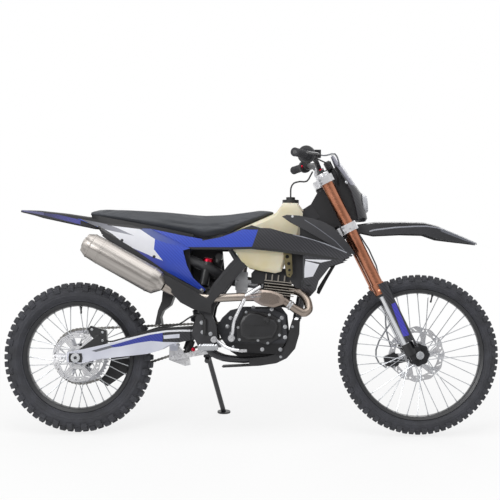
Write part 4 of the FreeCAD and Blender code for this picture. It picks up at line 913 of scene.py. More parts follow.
# %% [markdown]
# Knobbly tyres: a thin casing with separate blocks of rubber moulded on. Rows of three
# tread blocks dig, and between two rows stands a wide block with a shoulder lug on each side.
# The rows are as many as on the measured tyre and at the same places, so the bike still
# stands on them. For each wheel the table gives the radius over the lugs, the width, the
# rim's radius and width, the number of rows and the depth of a lug.

# %% Tyres
WHEELS = {
    "front": {"axle": FRONT_AXLE, "r": 348.5, "w": 86.0, "rim": 284.0, "rim_w": 54.0, "lugs": 38, "lug": 9.5},
    "rear": {"axle": REAR_AXLE, "r": 328.5, "w": 110.0, "rim": 242.0, "rim_w": 68.0, "lugs": 30, "lug": 14.0},
}
INSIDE, FOOT_FLARE = 0.4, 2.0


def casing(wheel):
    """The (radius, y) section of the casing, from one bead over the crown to the other."""
    r, h, rim, lug = wheel["r"], wheel["w"] / 2, wheel["rim"], wheel["lug"]
    d, bead = r - rim, wheel["rim_w"] / 2 - 5
    half = [(rim - 3, bead - 3), (rim + 1, bead + 1), (rim + 0.05 * d, bead + 5),
            (rim + 0.075 * d, bead + 4.5), (rim + 0.10 * d, bead + 6.5), (rim + 0.22 * d, 0.81 * h),
            (rim + 0.33 * d, 0.87 * h), (rim + 0.35 * d, 0.85 * h), (rim + 0.45 * d, 0.88 * h),
            (rim + 0.54 * d, 0.86 * h), (r - lug - 0.16 * d, 0.72 * h), (r - lug - 0.05 * d, 0.50 * h),
            (r - lug - 1.0, 0.22 * h), (r - lug - 1.0, 0.0)]
    return half + [(a, -b) for a, b in reversed(half[:-1])]


def lug_rows(wheel):
    """Rows of (radius, y) corners from the base inside to the base outside, with the half
    length along the tread and the place in steps of each."""
    h, d, lug, rim = wheel["w"] / 2, wheel["r"] - wheel["rim"], wheel["lug"], wheel["rim"]
    reach = math.tau * wheel["r"] / wheel["lugs"]
    r = math.sqrt(wheel["r"] ** 2 - (0.17 * reach) ** 2) - INSIDE
    low = r - lug - 4
    shoulder = [(low - 0.04 * d, 0.56 * h), (r - 0.10 * d, 0.69 * h), (r - 0.27 * d, 0.985 * h),
                (rim + 0.57 * d, 0.97 * h), (rim + 0.50 * d, 0.82 * h)]
    middle = [(low, 0.27 * h), (r - 0.01 * d, 0.29 * h), (r - 0.06 * d, 0.56 * h), (low - 0.05 * d, 0.62 * h)]
    centre = [(low, -0.22 * h), (r, -0.20 * h), (r, 0.20 * h), (low, 0.22 * h)]
    wide = [(low, -0.38 * h), (r - 0.02 * d, -0.34 * h), (r - 0.02 * d, 0.34 * h), (low, 0.38 * h)]
    flip = [[(a, -b) for a, b in row][::-1] for row in (shoulder, middle)]
    return [(centre, 0.155 * reach, 0.0), (middle, 0.17 * reach, 0.0), (flip[1], 0.17 * reach, 0.0),
            (wide, 0.15 * reach, 0.5), (shoulder, 0.17 * reach, 0.5), (flip[0], 0.17 * reach, 0.5)]


def on_wheel(axle, r, y, angle, along=0.0):
    """A point at a radius, a width and an angle, moved along the tread."""
    out = Vector((math.cos(angle), 0, math.sin(angle)))
    return axle + out * r + Vector((0, y, 0)) + Vector((-math.sin(angle), 0, math.cos(angle))) * along


for side, wheel in WHEELS.items():
    axle, count = wheel["axle"], wheel["lugs"]
    tyre_shape = Shape()
    section = casing(wheel)
    turns = 4 * count
    rings_joined(tyre_shape, [[on_wheel(axle, r, y, math.tau * i / turns) for r, y in section]
                              for i in range(turns)], closed=True)
    for row, half, place in lug_rows(wheel):
        for i in range(count):
            angle = math.tau * (i + place) / count - math.pi / 2
            ends = [[on_wheel(axle, r, y, angle, s * (half + (FOOT_FLARE if k in (0, len(row) - 1) else 0.0)))
                     for k, (r, y) in enumerate(row)] for s in (-1, 1)]
            rings_joined(tyre_shape, ends)
    tyre = placed(tyre_shape, side + "_knobbly_tyre", side + "_wheel", TYRE, 1.2)
    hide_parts(side + "_tyre")

# %% [markdown]
# Spokes end in plated nipples at the rim, and a rubber valve stands beside them. They are
# tiny, but a wheel without them looks drawn.

# %% Spoke nipples and valves
SPOKES, SPOKE_LEAN = 36, 34
NIPPLE = [(3.6, 0.0), (3.6, 2.0), (2.8, 3.0), (2.6, 13.0), (1.8, 14.0)]
VALVE = [(5.0, 0.0), (5.0, 3.0), (3.6, 6.0), (3.2, 20.0), (4.2, 21.0), (4.2, 30.0), (3.0, 32.0)]
RIMS = (("front", 266.0, 54.0, 39.0, 30.0, 76.0), ("rear", 222.0, 68.0, 45.0, 38.0, 88.0))
for side, rim_in, rim_w, hub_r, flange_y, valve_deg in RIMS:
    axle, rim_r = WHEELS[side]["axle"], rim_in - 0.6
    rows = []
    for i in range(SPOKES):
        y_side = 1 if i % 2 else -1
        angle = math.tau * i / SPOKES
        turn = angle + math.radians(SPOKE_LEAN if (i // 2) % 2 else -SPOKE_LEAN)
        rim_end = on_wheel(axle, rim_r, y_side * 0.1 * rim_w, angle)
        rows.append((NIPPLE, rim_end, on_wheel(axle, hub_r, y_side * flange_y, turn) - rim_end, 8))
    turned(side + "_nipples", side + "_wheel", STEEL, rows)
    foot = on_wheel(axle, rim_r, 0.0, math.radians(valve_deg))
    turned(side + "_valve", side + "_wheel", HOSE, [(VALVE, foot, axle - foot, 12)])

# %% [markdown]
# Off-road brake discs are cut with a wavy edge and rows of holes, which fling off mud and
# keep the pads clean. A flat part like this is easiest as a filled outline: one wavy ring,
# with the holes as further rings inside it. Six windows leave the carrier's arms between
# them, which sweep back on the front disc.

# %% Brake discs
DISCS = {
    "front": (FRONT_AXLE, 123.0, 47.0, 51.0, FRONT_DISC, 12, 0.22),
    "rear": (REAR_AXLE, 109.5, -56.0, -52.0, REAR_DISC, 11, 0.0),
}
ARMS = 6


def wavy(x, z, r, deep, waves, sides=120):
    """A circle whose edge dips by deep as often as waves says."""
    angles = [math.tau * k / sides for k in range(sides)]
    return [polar(x, z, r - deep * (0.5 - 0.5 * math.cos(waves * a)), a) for a in angles]


def swept_slot(x, z, angle, r0, r1, half, sweep):
    """A slot from r0 to r1 that leans back by sweep."""
    out = []
    for r, turn, s in ((r0, 0, -1), (r1, sweep, -1), (r1, sweep, 1), (r0, 0, 1)):
        a = angle + turn
        px, pz = polar(x, z, r, a)
        out.append((px - s * half * math.sin(a), pz + s * half * math.cos(a)))
    return out


def bowed_window(x, z, angle, r0, r1, spread, sweep):
    """A window between two radii whose sides lean back by sweep."""
    return [polar(x, z, r, angle + lean + s * spread)
            for r, lean, signs in ((r0, 0.0, (-1, 0, 1)), (r1, sweep, (1, 0.33, -0.33, -1))) for s in signs]


for side, (axle, r, y0, y1, steel, waves, sweep) in DISCS.items():
    x, z = axle.x, axle.z
    holes = [circle(x, z, r * 0.27, 32)]
    for k in range(waves):
        a = math.tau * k / waves
        holes.append(swept_slot(x, z, a, r * 0.82, r * 0.93, 3.4, 0.14))
        holes.append(circle(*polar(x, z, r * 0.87, a + math.pi / waves), r * 0.042, 10))
    for k in range(ARMS):
        holes.append(bowed_window(x, z, math.tau * (k + 0.5) / ARMS, r * 0.47, r * 0.77, 0.36, sweep))
    rotor, heads = Shape(), Shape()
    cut_sheet(rotor, wavy(x, z, r, 5.0, waves), y0, y1, holes)
    disc = placed(rotor, side + "_brake_disc", side + "_wheel", steel, 0.3)
    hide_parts(side + "_disc")
    outward, face = (-1, y0) if y0 < 0 else (1, y1)
    for k in range(ARMS):
        px, pz = polar(x, z, r * 0.36, math.tau * k / ARMS)
        bolt(heads, (px, face, pz), (0, outward, 0), 5.0, 4.0)
    placed(heads, side + "_disc_bolts", side + "_wheel", STEEL)

# %% [markdown]
# The rear sprocket is a milled aluminium ring with 48 teeth, lightened by windows that line
# up with those of the disc on the other side, so that light falls through the wheel.

# %% Rear sprocket
TEETH = 48
TOOTH = ((0.0, 115.5), (0.030, 118.5), (0.050, 123.4), (0.080, 123.4), (0.100, 118.5))
x, z = REAR_AXLE.x, REAR_AXLE.z
holes = [circle(x, z, 38, 32)]
for k in range(ARMS):
    holes.append(bowed_window(x, z, math.tau * (k + 0.5) / ARMS, 60, 103, 0.38, 0.0))
    holes.append(circle(*polar(x, z, 90, math.tau * k / ARMS), 7, 14))
gear = Shape()
rim = [polar(x, z, r, math.tau * i / TEETH + a) for i in range(TEETH) for a, r in TOOTH]
cut_sheet(gear, rim, 68.0, 74.0, holes)
sprocket = placed(gear, "toothed_sprocket", "rear_wheel", SPROCKET, 0.3)
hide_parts("rear_sprocket")

# %% [markdown]
# The drive chain is a loop of waisted side plates on rollers, 15.875 millimetres from pin to
# pin. The loop is walked in equal steps round both sprockets, and each step gets a pair of
# plates, wide and narrow in turns, and a roller. A plate's outline is given as the share of
# the step and the height above it.

# %% Drive chain
PITCH = 15.875
CHAIN_Y = 71.0
BIG, SMALL = (REAR_AXLE, 121.0), (Vector((-150.0, 0.0, 452.0)), 33.0)
PLATE_TOP = ((-0.22, 4.6), (0.0, 6.2), (0.22, 5.2), (0.5, 3.7), (0.78, 5.2), (1.0, 6.2), (1.22, 4.6))
PLATE = ((-0.30, 0.0), *PLATE_TOP, (1.30, 0.0), *[(t, -h) for t, h in reversed(PLATE_TOP)])
PLATE_THICK, INNER_Y, OUTER_Y = 1.9, 5.7, 8.0


def chain_loop():
    """Points about a millimetre apart, once round both sprockets."""
    (a, ra), (b, rb) = BIG, SMALL
    run = b - a
    base, off = math.atan2(run.z, run.x), math.acos((ra - rb) / run.length)

    def at(c, r, angle):
        return Vector((c.x + r * math.cos(angle), CHAIN_Y, c.z + r * math.sin(angle)))
    around_big = [at(a, ra, base + off + (math.tau - 2 * off) * k / 400) for k in range(401)]
    around_small = [at(b, rb, base - off + 2 * off * k / 100) for k in range(101)]
    return around_big + around_small


def walked(loop, pitch):
    """Equal steps along a closed line, as near to the pitch as closes it."""
    lengths = [(q - p).length for p, q in zip(loop, loop[1:] + loop[:1])]
    count = 2 * round(sum(lengths) / pitch / 2)
    pitch = sum(lengths) / count
    out, i, done = [], 0, 0.0
    for k in range(count):
        while done + lengths[i] < k * pitch:
            done += lengths[i]
            i += 1
        share = (k * pitch - done) / max(lengths[i], 1e-6)
        out.append(loop[i].lerp(loop[(i + 1) % len(loop)], share))
    return out


pins = walked(chain_loop(), PITCH)
links = Shape()
for k, (p, q) in enumerate(zip(pins, pins[1:] + pins[:1])):
    ahead = (q - p).normalized()
    up = Vector((-ahead.z, 0, ahead.x))
    plate = [p.lerp(q, t) + up * h for t, h in PLATE]
    reach = INNER_Y if k % 2 else OUTER_Y
    for s in (-1, 1):
        slab(links, [(spot.x, spot.z) for spot in plate], CHAIN_Y + s * (reach - PLATE_THICK),
             CHAIN_Y + s * reach)
    lathe(links, [(4.6, -5.0), (4.6, 5.0)], p, (0, 1, 0), 10)
    lathe(links, [(2.4, -9.2), (2.9, -8.6), (2.9, 8.6), (2.4, 9.2)], p, (0, 1, 0), 8)
drive_chain = placed(links, "drive_chain", "chassis", CHAIN_STEEL)
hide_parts("chain")
print(len(pins), "links")

# %% [markdown]
# The fork's own directions: down along the steering axis, and ahead of it. Seals, caps and
# pinch bolts sit on these.

# %% Fork directions
FORK_TILT = math.radians(26.4)
DOWN = Vector((math.sin(FORK_TILT), 0, -math.cos(FORK_TILT)))
AHEAD = Vector((math.cos(FORK_TILT), 0, math.sin(FORK_TILT)))
FORK_HALF, FORK_AHEAD = 101.0, 28.0


def on_fork(drop, ahead=FORK_AHEAD, y=0.0):
    """The point that lies drop below and ahead of the top of the steering axis."""
    return Vector((286.0, y, 1050.0)) + DOWN * drop + AHEAD * ahead


print("axle drop", round((FRONT_AXLE - on_fork(0, 0)).dot(DOWN), 1))

# %% [markdown]
# An upside-down fork has anodised caps with a hexagon and a small coloured adjuster on top,
# and a bright ring round the tube below them. The tube ends in a lip, with a rubber wiper
# where the chromed rod enters. Pinch bolts go through the clamps. The table's rows give a
# lathe profile, how far below the top of the steering axis it starts, its way and its sides.

# %% Fork caps, rings, wipers and clamp bolts
FORK_TRIM = {
    "fork_caps": ("clamp_silver", RIM_BLACK, 0.4, [
        ([(24.5, 0), (24.5, 6), (22.5, 8), (14.5, 8.2), (14.5, 15), (13.0, 16.5)], -76, -DOWN, 6),
        ([(24.8, -2), (24.8, 5), (23.6, 6.5)], -76, -DOWN, 24)]),
    "fork_adjusters": ("clamp_silver", RED_ANODISED, 0, [
        ([(6.5, 0), (6.5, 5), (5.5, 6.5), (1.5, 6.5), (1.2, 5)], -92, -DOWN, 12)]),
    "fork_lips": ("fork_bronze", BRONZE, 0, [
        ([(26.0, 0), (29.2, 6), (29.4, 24), (29.0, 26)], 474, DOWN, 28)]),
    "fork_top_rings": ("clamp_silver", BILLET, 0, [
        ([(25.7, 0), (26.3, 1), (26.3, 15), (25.7, 16)], -78, DOWN, 28)]),
    "fork_wipers": ("hose_rubber", HOSE, 0, [
        ([(29.0, 0), (29.0, 3), (27.5, 9), (22.5, 12), (21.2, 12)], 499, DOWN, 24)]),
}
for name, (slot, mat, edge_mm, trim) in FORK_TRIM.items():
    rows = [(profile, on_fork(drop, y=y), way, sides)
            for y in (-FORK_HALF, FORK_HALF) for profile, drop, way, sides in trim]
    turned(name, "steering", mat, rows, edge_mm)
clamp_bolts = Shape()
for side in (-1, 1):
    for drop in (-53, -39, 174, 194):
        bolt(clamp_bolts, on_fork(drop, FORK_AHEAD - 26, side * (FORK_HALF + 34)), (0, side, 0), 4.5, 4.5)
    for x, y in ((250, 33), (250, 51), (278, 33), (278, 51)):
        bolt(clamp_bolts, (x, side * y, 1158), (0, 0, 1), 3.8, 4.0)
placed(clamp_bolts, "clamp_bolts", "steering", STEEL)

# %% [markdown]
# The bars end in small discs that protect the grips, whose rubber has raised ridges. The
# throttle's drum and the smaller switch housing stand inboard of the grips. The stop button
# sits on the left, and a small instrument stands on the upper clamp behind the mask.

# %% Bar ends, drums, stop button and instrument
BAR_END = [(17.5, -6), (18.8, -4), (18.8, -2), (17.0, 0), (9.0, 0.8), (8.5, -1), (0.01, -1)]
RIDGE = [(17.0, -1.6), (17.9, -0.9), (17.9, 0.9), (17.0, 1.6)]
METER_END = ((-118, 62), (-84, 62), (-84, 84), (-114, 84))
METER_BODY = ((-122, 58), (-80, 58), (-80, 88), (-118, 88))
METER_FOOT = ((-84, 40), (-62, 40), (-62, 78), (-84, 78))


def at_bar(y):
    """The middle of the bar at y."""
    t = (abs(y) - 275.0) / 125.0
    return Vector((200 - 45 * t, y, 1197 - 4 * t))


ends, ridges, drums = [], [], []
for s, r in ((-1, 38), (1, 29)):
    way = at_bar(s * 400) - at_bar(s * 300)
    ends.append((BAR_END, at_bar(s * 400), way, 20))
    ridges += [(RIDGE, at_bar(s * (282 + 7.6 * k)), way, 16) for k in range(15)]
    drum = [(12, 0), (r - 3, 0), (r, 3), (r, 15), (r - 3, 18), (12, 18)]
    drums.append((drum, at_bar(s * 252), way, 28))
turned("throttle_and_switch_drums", "steering", BLACK_PLASTIC, drums, 0.5)
turned("bar_ends", "steering", GRIP, ends, 0.4)
turned("grip_ridges", "steering", GRIP, ridges)
turned("stop_button", "steering", RED_ANODISED,
       [([(9, 0), (9, 6), (6.5, 6.5), (6.5, 11), (5.0, 12)], (194, 252, 1196), (-1, 0, -0.1), 14)])
meter, glass = Shape(), Shape()
for stations in (((METER_END, -34), (METER_BODY, -28), (METER_BODY, 28), (METER_END, 34)),
                 ((METER_FOOT, -14), (METER_FOOT, 14))):
    rings_joined(meter, [[on_fork(drop, ahead, y) for drop, ahead in outline] for outline, y in stations])
rings_joined(glass, [[on_fork(drop, ahead, y) for y, ahead in ((-24, 62), (24, 62), (24, 83), (-24, 83))]
                     for drop in (-122.6, -121)])
placed(meter, "instrument", "steering", BLACK_PLASTIC, 1.5)
placed(glass, "instrument_glass", "steering", MASK)

# %% [markdown]
# Bolts hold panels, covers and plates. Low bosses stand round the engine case, and dark
# screws hold the side panels. Each spot is read from the photograph as (x, z) on the bike,
# and the landing ray puts the bolt on the surface there. Rows give the solids to land on,
# the spots, the head's radius and height, and the sides of the bike that get them.

# %% Bolts, bosses and panel screws
RIGHT, LEFT, BOTH = (-1,), (1,), (-1, 1)
ENGINE = ("crankcase", "engine_covers")
COVER_BOLTS = [(-84, 466), (-78, 414), (2, 411), (44, 400), (94, 434), (92, 496), (50, 521), (-50, 532)]
BOSSES = [(104, 508), (118, 470), (118, 425), (98, 372), (-104, 380), (-112, 440), (-132, 470), (-118, 506),
          (-92, 548), (-20, 552), (60, 545), (20, 372)]
BOLTS = {
    "panel_screws": ("chassis", "plastic_black", BLACK_PLASTIC, [
        (["side_panels"], [(-588, 839), (-448, 769)], 5.0, 2.0, BOTH)]),
    "case_bosses": ("chassis", "cast_alloy", CAST_ALLOY, [(ENGINE, BOSSES, 6.5, 3.0, RIGHT)]),
    "panel_and_case_bolts": ("chassis", "steel", STEEL, [
        (["shroud_wings"], [(148, 944)], 4.0, 2.5, BOTH),
        (ENGINE, BOSSES[:5] + [(-108, 440)], 4.5, 5.0, BOTH),
        (["skid_plate"], [(100, 340), (150, 470)], 4.5, 3.5, BOTH),
        (["engine_covers"], COVER_BOLTS, 4.5, 5.0, RIGHT),
        (["chain_guide"], [(-680, 330), (-600, 335)], 4.5, 4.0, LEFT)]),
    "frame_bolts": ("chassis", "steel", STEEL, [
        (["side_panels"], [(-244, 624)], 8.0, 4.0, BOTH),
        (["frame"], [(-240, 486), (-236, 445), (-202, 438)], 6.5, 5.5, BOTH),
        (["frame", "subframe"], [(-236, 610), (-96, 722), (168, 500)], 8.0, 6.0, BOTH)]),
    "mask_bolts": ("steering", "steel", STEEL, [(["headlight_mask"], [(380, 1095)], 5.5, 3.5, BOTH)]),
}
for name, (body, slot, mat, rows) in BOLTS.items():
    heads = Shape()
    for solids, spots, r, h, sides in rows:
        found = [landing(solids, x, z, side) for side in sides for x, z in spots]
        for spot, normal in filter(None, found):
            bolt(heads, spot, normal, r, h)
    placed(heads, name, body, mat)

# %% [markdown]
# The clutch cover is cast with two thin ribs, and has a filler plug. The ignition cover on
# the other side has a ring of bolts.

# %% Cover trim
ribs, left_bolts = Shape(), Shape()
for z, x0, x1 in ((477, -64, 76), (434, -60, 64)):
    slab(ribs, [(x0, z - 0.9), (x1, z - 0.9), (x1 - 2, z + 1.1), (x0 + 2, z + 1.1)], -130.2, -126)
for k in range(6):
    px, pz = polar(45, 440, 53, math.tau * k / 6)
    bolt(left_bolts, (px, 104.0, pz), (0, 1, 0), 4.5, 4.5)
plug_at, _ = landing(["engine_covers"], 40, 498)
placed(ribs, "cover_ribs", "chassis", ENGINE_BLACK, 0.4)
turned("oil_plug", "chassis", ENGINE_BLACK,
       [([(12, -2), (12, 3), (10, 5), (10, 9), (8.5, 10.5)], plug_at, (0, -1, 0.12), 6),
        ([(14, -2), (14, 2.5), (12.5, 3.5)], plug_at, (0, -1, 0.12), 20)], 0.5)
placed(left_bolts, "ignition_bolts", "chassis", STEEL)

# %% [markdown]
# The silencer is a rolled can: a welded front cone and a rear cap with an outlet that stands
# hardly proud. The weld bands are a little wider than the can, as real seams are. Each is
# given by its ends along the can, the can's half height and half width, and how proud it is.

# %% Silencer trim
CAN_FRONT, CAN_REAR = Vector((-402, -186, 640)), Vector((-738, -190, 827))
SEAMS = ((298, 303, 56, 45, 0.9), (307, 309, 56, 45, 0.7), (58, 64, 56, 45, 0.9), (351, 356, 54.2, 44.2, 0.9))
can_way = (CAN_REAR - CAN_FRONT).normalized()
can_up = Vector((-can_way.z, 0, can_way.x))


def can_ring(t, h, w, sides=32):
    """A ring round the can's axis at t, h high and w wide from the axis."""
    centre = CAN_FRONT + can_way * t
    return [centre + can_up * (h * math.sin(a)) + Vector((0, w * math.cos(a), 0))
            for a in [math.tau * k / sides for k in range(sides)]]


OUTLET = [(24, -4), (24, 4), (21, 6), (19.5, 4), (19.5, -30), (0.01, -30)]
can_trim = Shape()
for t0, t1, h, w, proud in SEAMS:
    rings_joined(can_trim, [can_ring(t, h + out, w + out)
                            for t, out in ((t0, -1), (t0, proud), (t1, proud), (t1, -1))])
placed(can_trim, "can_seams", "chassis", CAN, 0.3)
turned("can_outlet", "chassis", CAN, [(OUTLET, CAN_FRONT + can_way * 384, can_way, 28)], 0.4)

# %% [markdown]
# Exhaust joints slide into each other and are held by a clamp at the head and by springs
# between small hooks. A spring is a tube along a helix.

# %% Exhaust clamp and springs
CLAMP_AT = Vector((138, -133, 564))
POINTS, TURN, COIL_R = 84, 0.9, 3.2
clamp, springs = Shape(), Shape()
pipe_way = Vector((-50, -2, 37)).normalized()
for t in (-9, 2):
    lathe(clamp, [(18, 0), (20.6, 0), (20.6, 7), (18, 7)], CLAMP_AT + pipe_way * t, pipe_way, 24)
bolt(clamp, CLAMP_AT + Vector((0, -21, 0)), (0.3, -1, 0.3), 4.5, 6)
for x0, z0, x1, z1 in ((16, 600, -30, 596), (18, 620, -26, 612)):
    a, b = Vector((x0, -168.5, z0)), Vector((x1, -160, z1))
    u, v = axes_of(b - a)
    coil = [a.lerp(b, k / POINTS) + u * (COIL_R * math.cos(k * TURN)) + v * (COIL_R * math.sin(k * TURN))
            for k in range(POINTS + 1)]
    tube(springs, coil, 0.8, 6)
placed(clamp, "header_clamp", "chassis", STEEL, 0.4)
placed(springs, "exhaust_springs", "chassis", STEEL)

# %% [markdown]
# The tank hangs on a pressed brass-coloured bracket with round holes, beside the frame.

# %% Tank bracket
bracket = Shape()
bracket_holes = [circle(126, 772, 8), circle(133, 742, 7), circle(136, 714, 6), circle(135, 694, 3.5, 10)]
cut_sheet(bracket, [(108, 790), (136, 796), (146, 780), (150, 700), (140, 682), (124, 688), (116, 740)],
          -101.5, -98.2, bracket_holes)
placed(bracket, "tank_bracket", "chassis", BRASS, 0.5)

# %% [markdown]
# The shock's reservoir has a red end cap. The link has a red dust seal at its pivot. Rubber
# boots with hose clips hold both ends of the carburettor, which has a screwed top and a
# float bowl under it.

# %% Shock, link and carburettor fittings
BOOT_AT = Vector((-112, 0, 672))
bore = Vector((156, 0, -22)).normalized()
clip = [(26.2, 0), (27.4, 0.5), (27.4, 8.5), (26.2, 9)]
carburettor_top = [(22.6, 0), (23.4, 1), (23.4, 9), (21.5, 11), (12, 12), (12, 20), (9, 22)]
turned("reservoir_cap", "chassis", RED_ANODISED,
       [([(22.6, -2), (22.6, 6), (20, 12), (12, 15), (0.01, 16)], (-219, -58, 752), (19, 0, 102), 20)], 0.4)
turned("link_seal", "chassis", RED_ANODISED,
       [([(9, 0), (9, 3), (7, 4.5), (7, 6), (4, 6.5)], (-280, -50, 369), (0, -1, 0), 20)])
turned("carburettor_clips", "chassis", STEEL,
       [(clip, BOOT_AT + bore * 12, bore, 24), (clip, BOOT_AT + bore * 128, bore, 24),
        (carburettor_top, (-72, 0, 720), (0, 0, 1), 20)])
turned("carburettor_boots", "chassis", HOSE,
       [([(24.2, 0), (26.2, 2), (26.2, width - 2), (24.2, width)], BOOT_AT + bore * t, bore, 24)
        for t, width in ((-2, 30), (112, 42))])
bowl = Shape()
stack(bowl, ((-96, -22), (-96, 22), (-50, 22), (-50, -22)), (600, 627.8))
for x, y in ((-90, -20), (-56, -20), (-90, 20), (-56, 20)):
    bolt(bowl, (x, y, 601), (0, 0, -1), 3.0, 3.0)
placed(bowl, "float_bowl", "chassis", CAST_ALLOY, 2.0)

# %% [markdown]
# At the rear axle a black block slides in the swingarm's slot, set by a bolt with a lock
# nut, beside a row of marks. The front hub carries a lobed ring, pins hold the pads in the
# calipers, and a nut ends the front axle. The wheel sensor's cable loops down to the caliper.

# %% Axle blocks, hub ring, caliper pins and sensor cable
ADJUSTER = [(4.5, 0), (4.5, 22), (7.0, 22), (7.0, 28), (5.0, 28), (5.0, 34), (7.5, 34), (7.5, 38)]
PIN = [(6, -1), (6, 2.5), (4.5, 4), (2.5, 4), (2.4, 1.5)]
NUT = [(12.5, -3), (12.5, 1), (11.5, 2.5), (7, 2.5), (6.2, -2)]
SENSOR_LINE = ((582, 486), (556, 446), (532, 406), (519, 368), (519, 336), (533, 310), (556, 296))
OUT_RIGHT = (0, -1, 0)

blocks, marks, adjusters = Shape(), Shape(), []
x, z = REAR_AXLE.x, REAR_AXLE.z
for s in (-1, 1):
    block = [(x - 27, z - 19), (x + 27, z - 19), (x + 30, z), (x + 27, z + 19), (x - 27, z + 19),
             (x - 30, z)]
    cut_sheet(blocks, block, s * 107.8, s * 112.5, [circle(x, z, 20.4, 24)])
    adjusters.append((ADJUSTER, (x - 24, s * 96, z + 2), (-1, 0, 0), 6))
    slab(marks, [(x - 40, z - 15), (x - 38, z - 15), (x - 38, z + 19), (x - 40, z + 19)], s * 86, s * 106)
    for k in range(6):
        at = x - 20 + 8 * k
        mark = [(at, z + 20.5), (at + 1, z + 20.5), (at + 1, z + 26), (at, z + 26)]
        slab(marks, mark, s * 107.9, s * 108.5)
hub_ring, cable = Shape(), Shape()
x, z = FRONT_AXLE.x, FRONT_AXLE.z
hub_holes = [circle(x, z, 28, 24)] + [circle(*polar(x, z, 35, math.tau * k / 8), 3, 10) for k in range(8)]
cut_sheet(hub_ring, wavy(x, z, 50, 5, 8, 96), -39, -33.6, hub_holes)
tube(cable, [Vector((x, 62, z)) for x, z in SENSOR_LINE], 3.6, 8)
placed(cable, "wheel_sensor_cable", "steering", BRAIDED_HOSE)
turned("front_axle_nut", "steering", STEEL,
       [(NUT, FRONT_AXLE + Vector((0, -129, 0)), OUT_RIGHT, 6)])
placed(blocks, "axle_blocks", "chassis", CALIPER_BLACK, 0.6)
turned("chain_adjusters", "chassis", STEEL, adjusters, 0.3)
placed(marks, "swingarm_end_plates", "chassis", BILLET)
placed(hub_ring, "front_hub_ring", "front_wheel", RIM_BLACK, 0.5)
turned("front_caliper_pins", "steering", STEEL,
       [(PIN, FRONT_AXLE + Vector(at), OUT_RIGHT, 12) for at in ((-137, 28, -56), (-100, 28, -55))])
turned("rear_caliper_pins", "chassis", STEEL,
       [(PIN, REAR_AXLE + Vector(at), OUT_RIGHT, 12)
        for at in ((66, -80, 122), (112, -80, 110), (112, -80, 74))])

# %% [markdown]
# Satin black plastic fills the real bike between its painted parts: a pan under the seat, the
# airbox wall, a guard over the frame and pipe, a gusset behind the fork, the back of the
# headlight and ducts beside the radiators. Without them light falls through where the
# photograph is dark. Each is a moulded sheet a few millimetres thick, cut to its outline.

# %% Seat pan and black fillings
PAN = ((-728, 944, 56), (-690, 939, 86), (-560, 914, 102), (-400, 884, 102), (-280, 859, 92))
GUARD = [(-505, 728), (-399, 664), (-371, 618), (-328, 572), (-275, 544), (-198, 526), (-196, 563),
         (-171, 595), (-138, 627), (-78, 702), (-55, 741), (-78, 748), (-152, 683), (-217, 591), (-249, 609),
         (-374, 679)]
GUARD_BENDS = ((-505, -200), (-402, -196), (-300, -176), (-200, -170), (-55, -166))
SEAT_RAIL = [(-690, 890), (-566, 822), (-522, 794), (-405, 712), (-333, 668), (-240, 620), (-245, 601),
             (-330, 640), (-403, 679), (-515, 731), (-567, 767), (-674, 866)]
SHROUD_DUCT = [(180, 915), (215, 905), (300, 850), (390, 785), (330, 790), (250, 830), (180, 865)]
GUSSET = ([(254, 1050)] + [(p.x, p.z) for p in (on_fork(-16, 6), on_fork(154, 6), on_fork(154, -28))]
          + [(300, 885), (215, 925), (205, 962)])
SHEETS = [
    ([(-300, 806), (-160, 806), (-150, 700), (-200, 630), (-262, 622), (-300, 700)], 62, 66),
    *[(SHROUD_DUCT, s * 122, s * 125) for s in (-1, 1)],
    *[(SEAT_RAIL, s * 114, s * 119) for s in (-1, 1)],
    ([(345, 748), (330, 750), (262, 640), (258, 618), (270, 612), (300, 670)], 125, 129),
    ([(108, 800), (195, 800), (195, 630), (160, 640), (120, 700)], -66, -62),
    ([(-30, 655), (160, 655), (160, 700), (140, 722), (-10, 722), (-30, 700)], -48, 48),
    (GUSSET, -29, 29),
]
HOUSING = [(318, 1150), (345, 1175), (375, 1130), (420, 1060), (440, 1000), (445, 935), (400, 925),
           (385, 960), (360, 1020), (335, 1080)]


def bent(shape, outline, thick, bends):
    """A sheet whose y follows the (x, y) bends; the first bend is the rearmost."""
    sheet = Shape()
    cut_sheet(sheet, outline, 0.0, thick)
    for p in sheet.points:
        x = min(max(p.x, bends[0][0]), bends[-1][0])
        for (xa, ya), (xb, yb) in zip(bends, bends[1:]):
            if xa <= x <= xb:
                p.y += ya + (yb - ya) * (x - xa) / (xb - xa)
                break
    shape.add(sheet.points, sheet.faces)


pan, fillings, housing = Shape(), Shape(), Shape()
rings_joined(pan, [[Vector((x, y, z + dz)) for y, dz in ((-w, -22), (w, -22), (w, 8), (-w, 8))]
                   for x, z, w in PAN])
bent(fillings, GUARD, 4.0, GUARD_BENDS)
for outline, y0, y1 in SHEETS:
    cut_sheet(fillings, outline, y0, y1)
cut_sheet(housing, HOUSING, -58, 58)
placed(pan, "seat_pan", "chassis", BLACK_PLASTIC, 1.0)
placed(fillings, "black_fillings", "chassis", BLACK_PLASTIC, 0.8)
placed(housing, "headlight_housing", "steering", BLACK_PLASTIC, 2.0)

# %% [markdown]
# A radiator is a core of thin fins between two end tanks, with plastic slats in front that
# keep stones off. The real fins are a millimetre apart. Here the slats carry the detail, and
# the dark core steps in with the bow of the lower shroud, level by level, to stay behind it.
# The measured lower shroud is open there, so a thin sheet with the same bow closes it.

# %% Radiators
BOW = 420.0


def shroud_y(x, z):
    """How far out the bowed lower shroud is: a cylinder of radius BOW, flared to the front."""
    return 137.0 - BOW + math.sqrt(BOW ** 2 - (850.0 - z) ** 2) + 0.0454 * x


def core_reach(z):
    """How far out the core may go at a height."""
    return min(118.0, shroud_y(194, z) - 12.0)


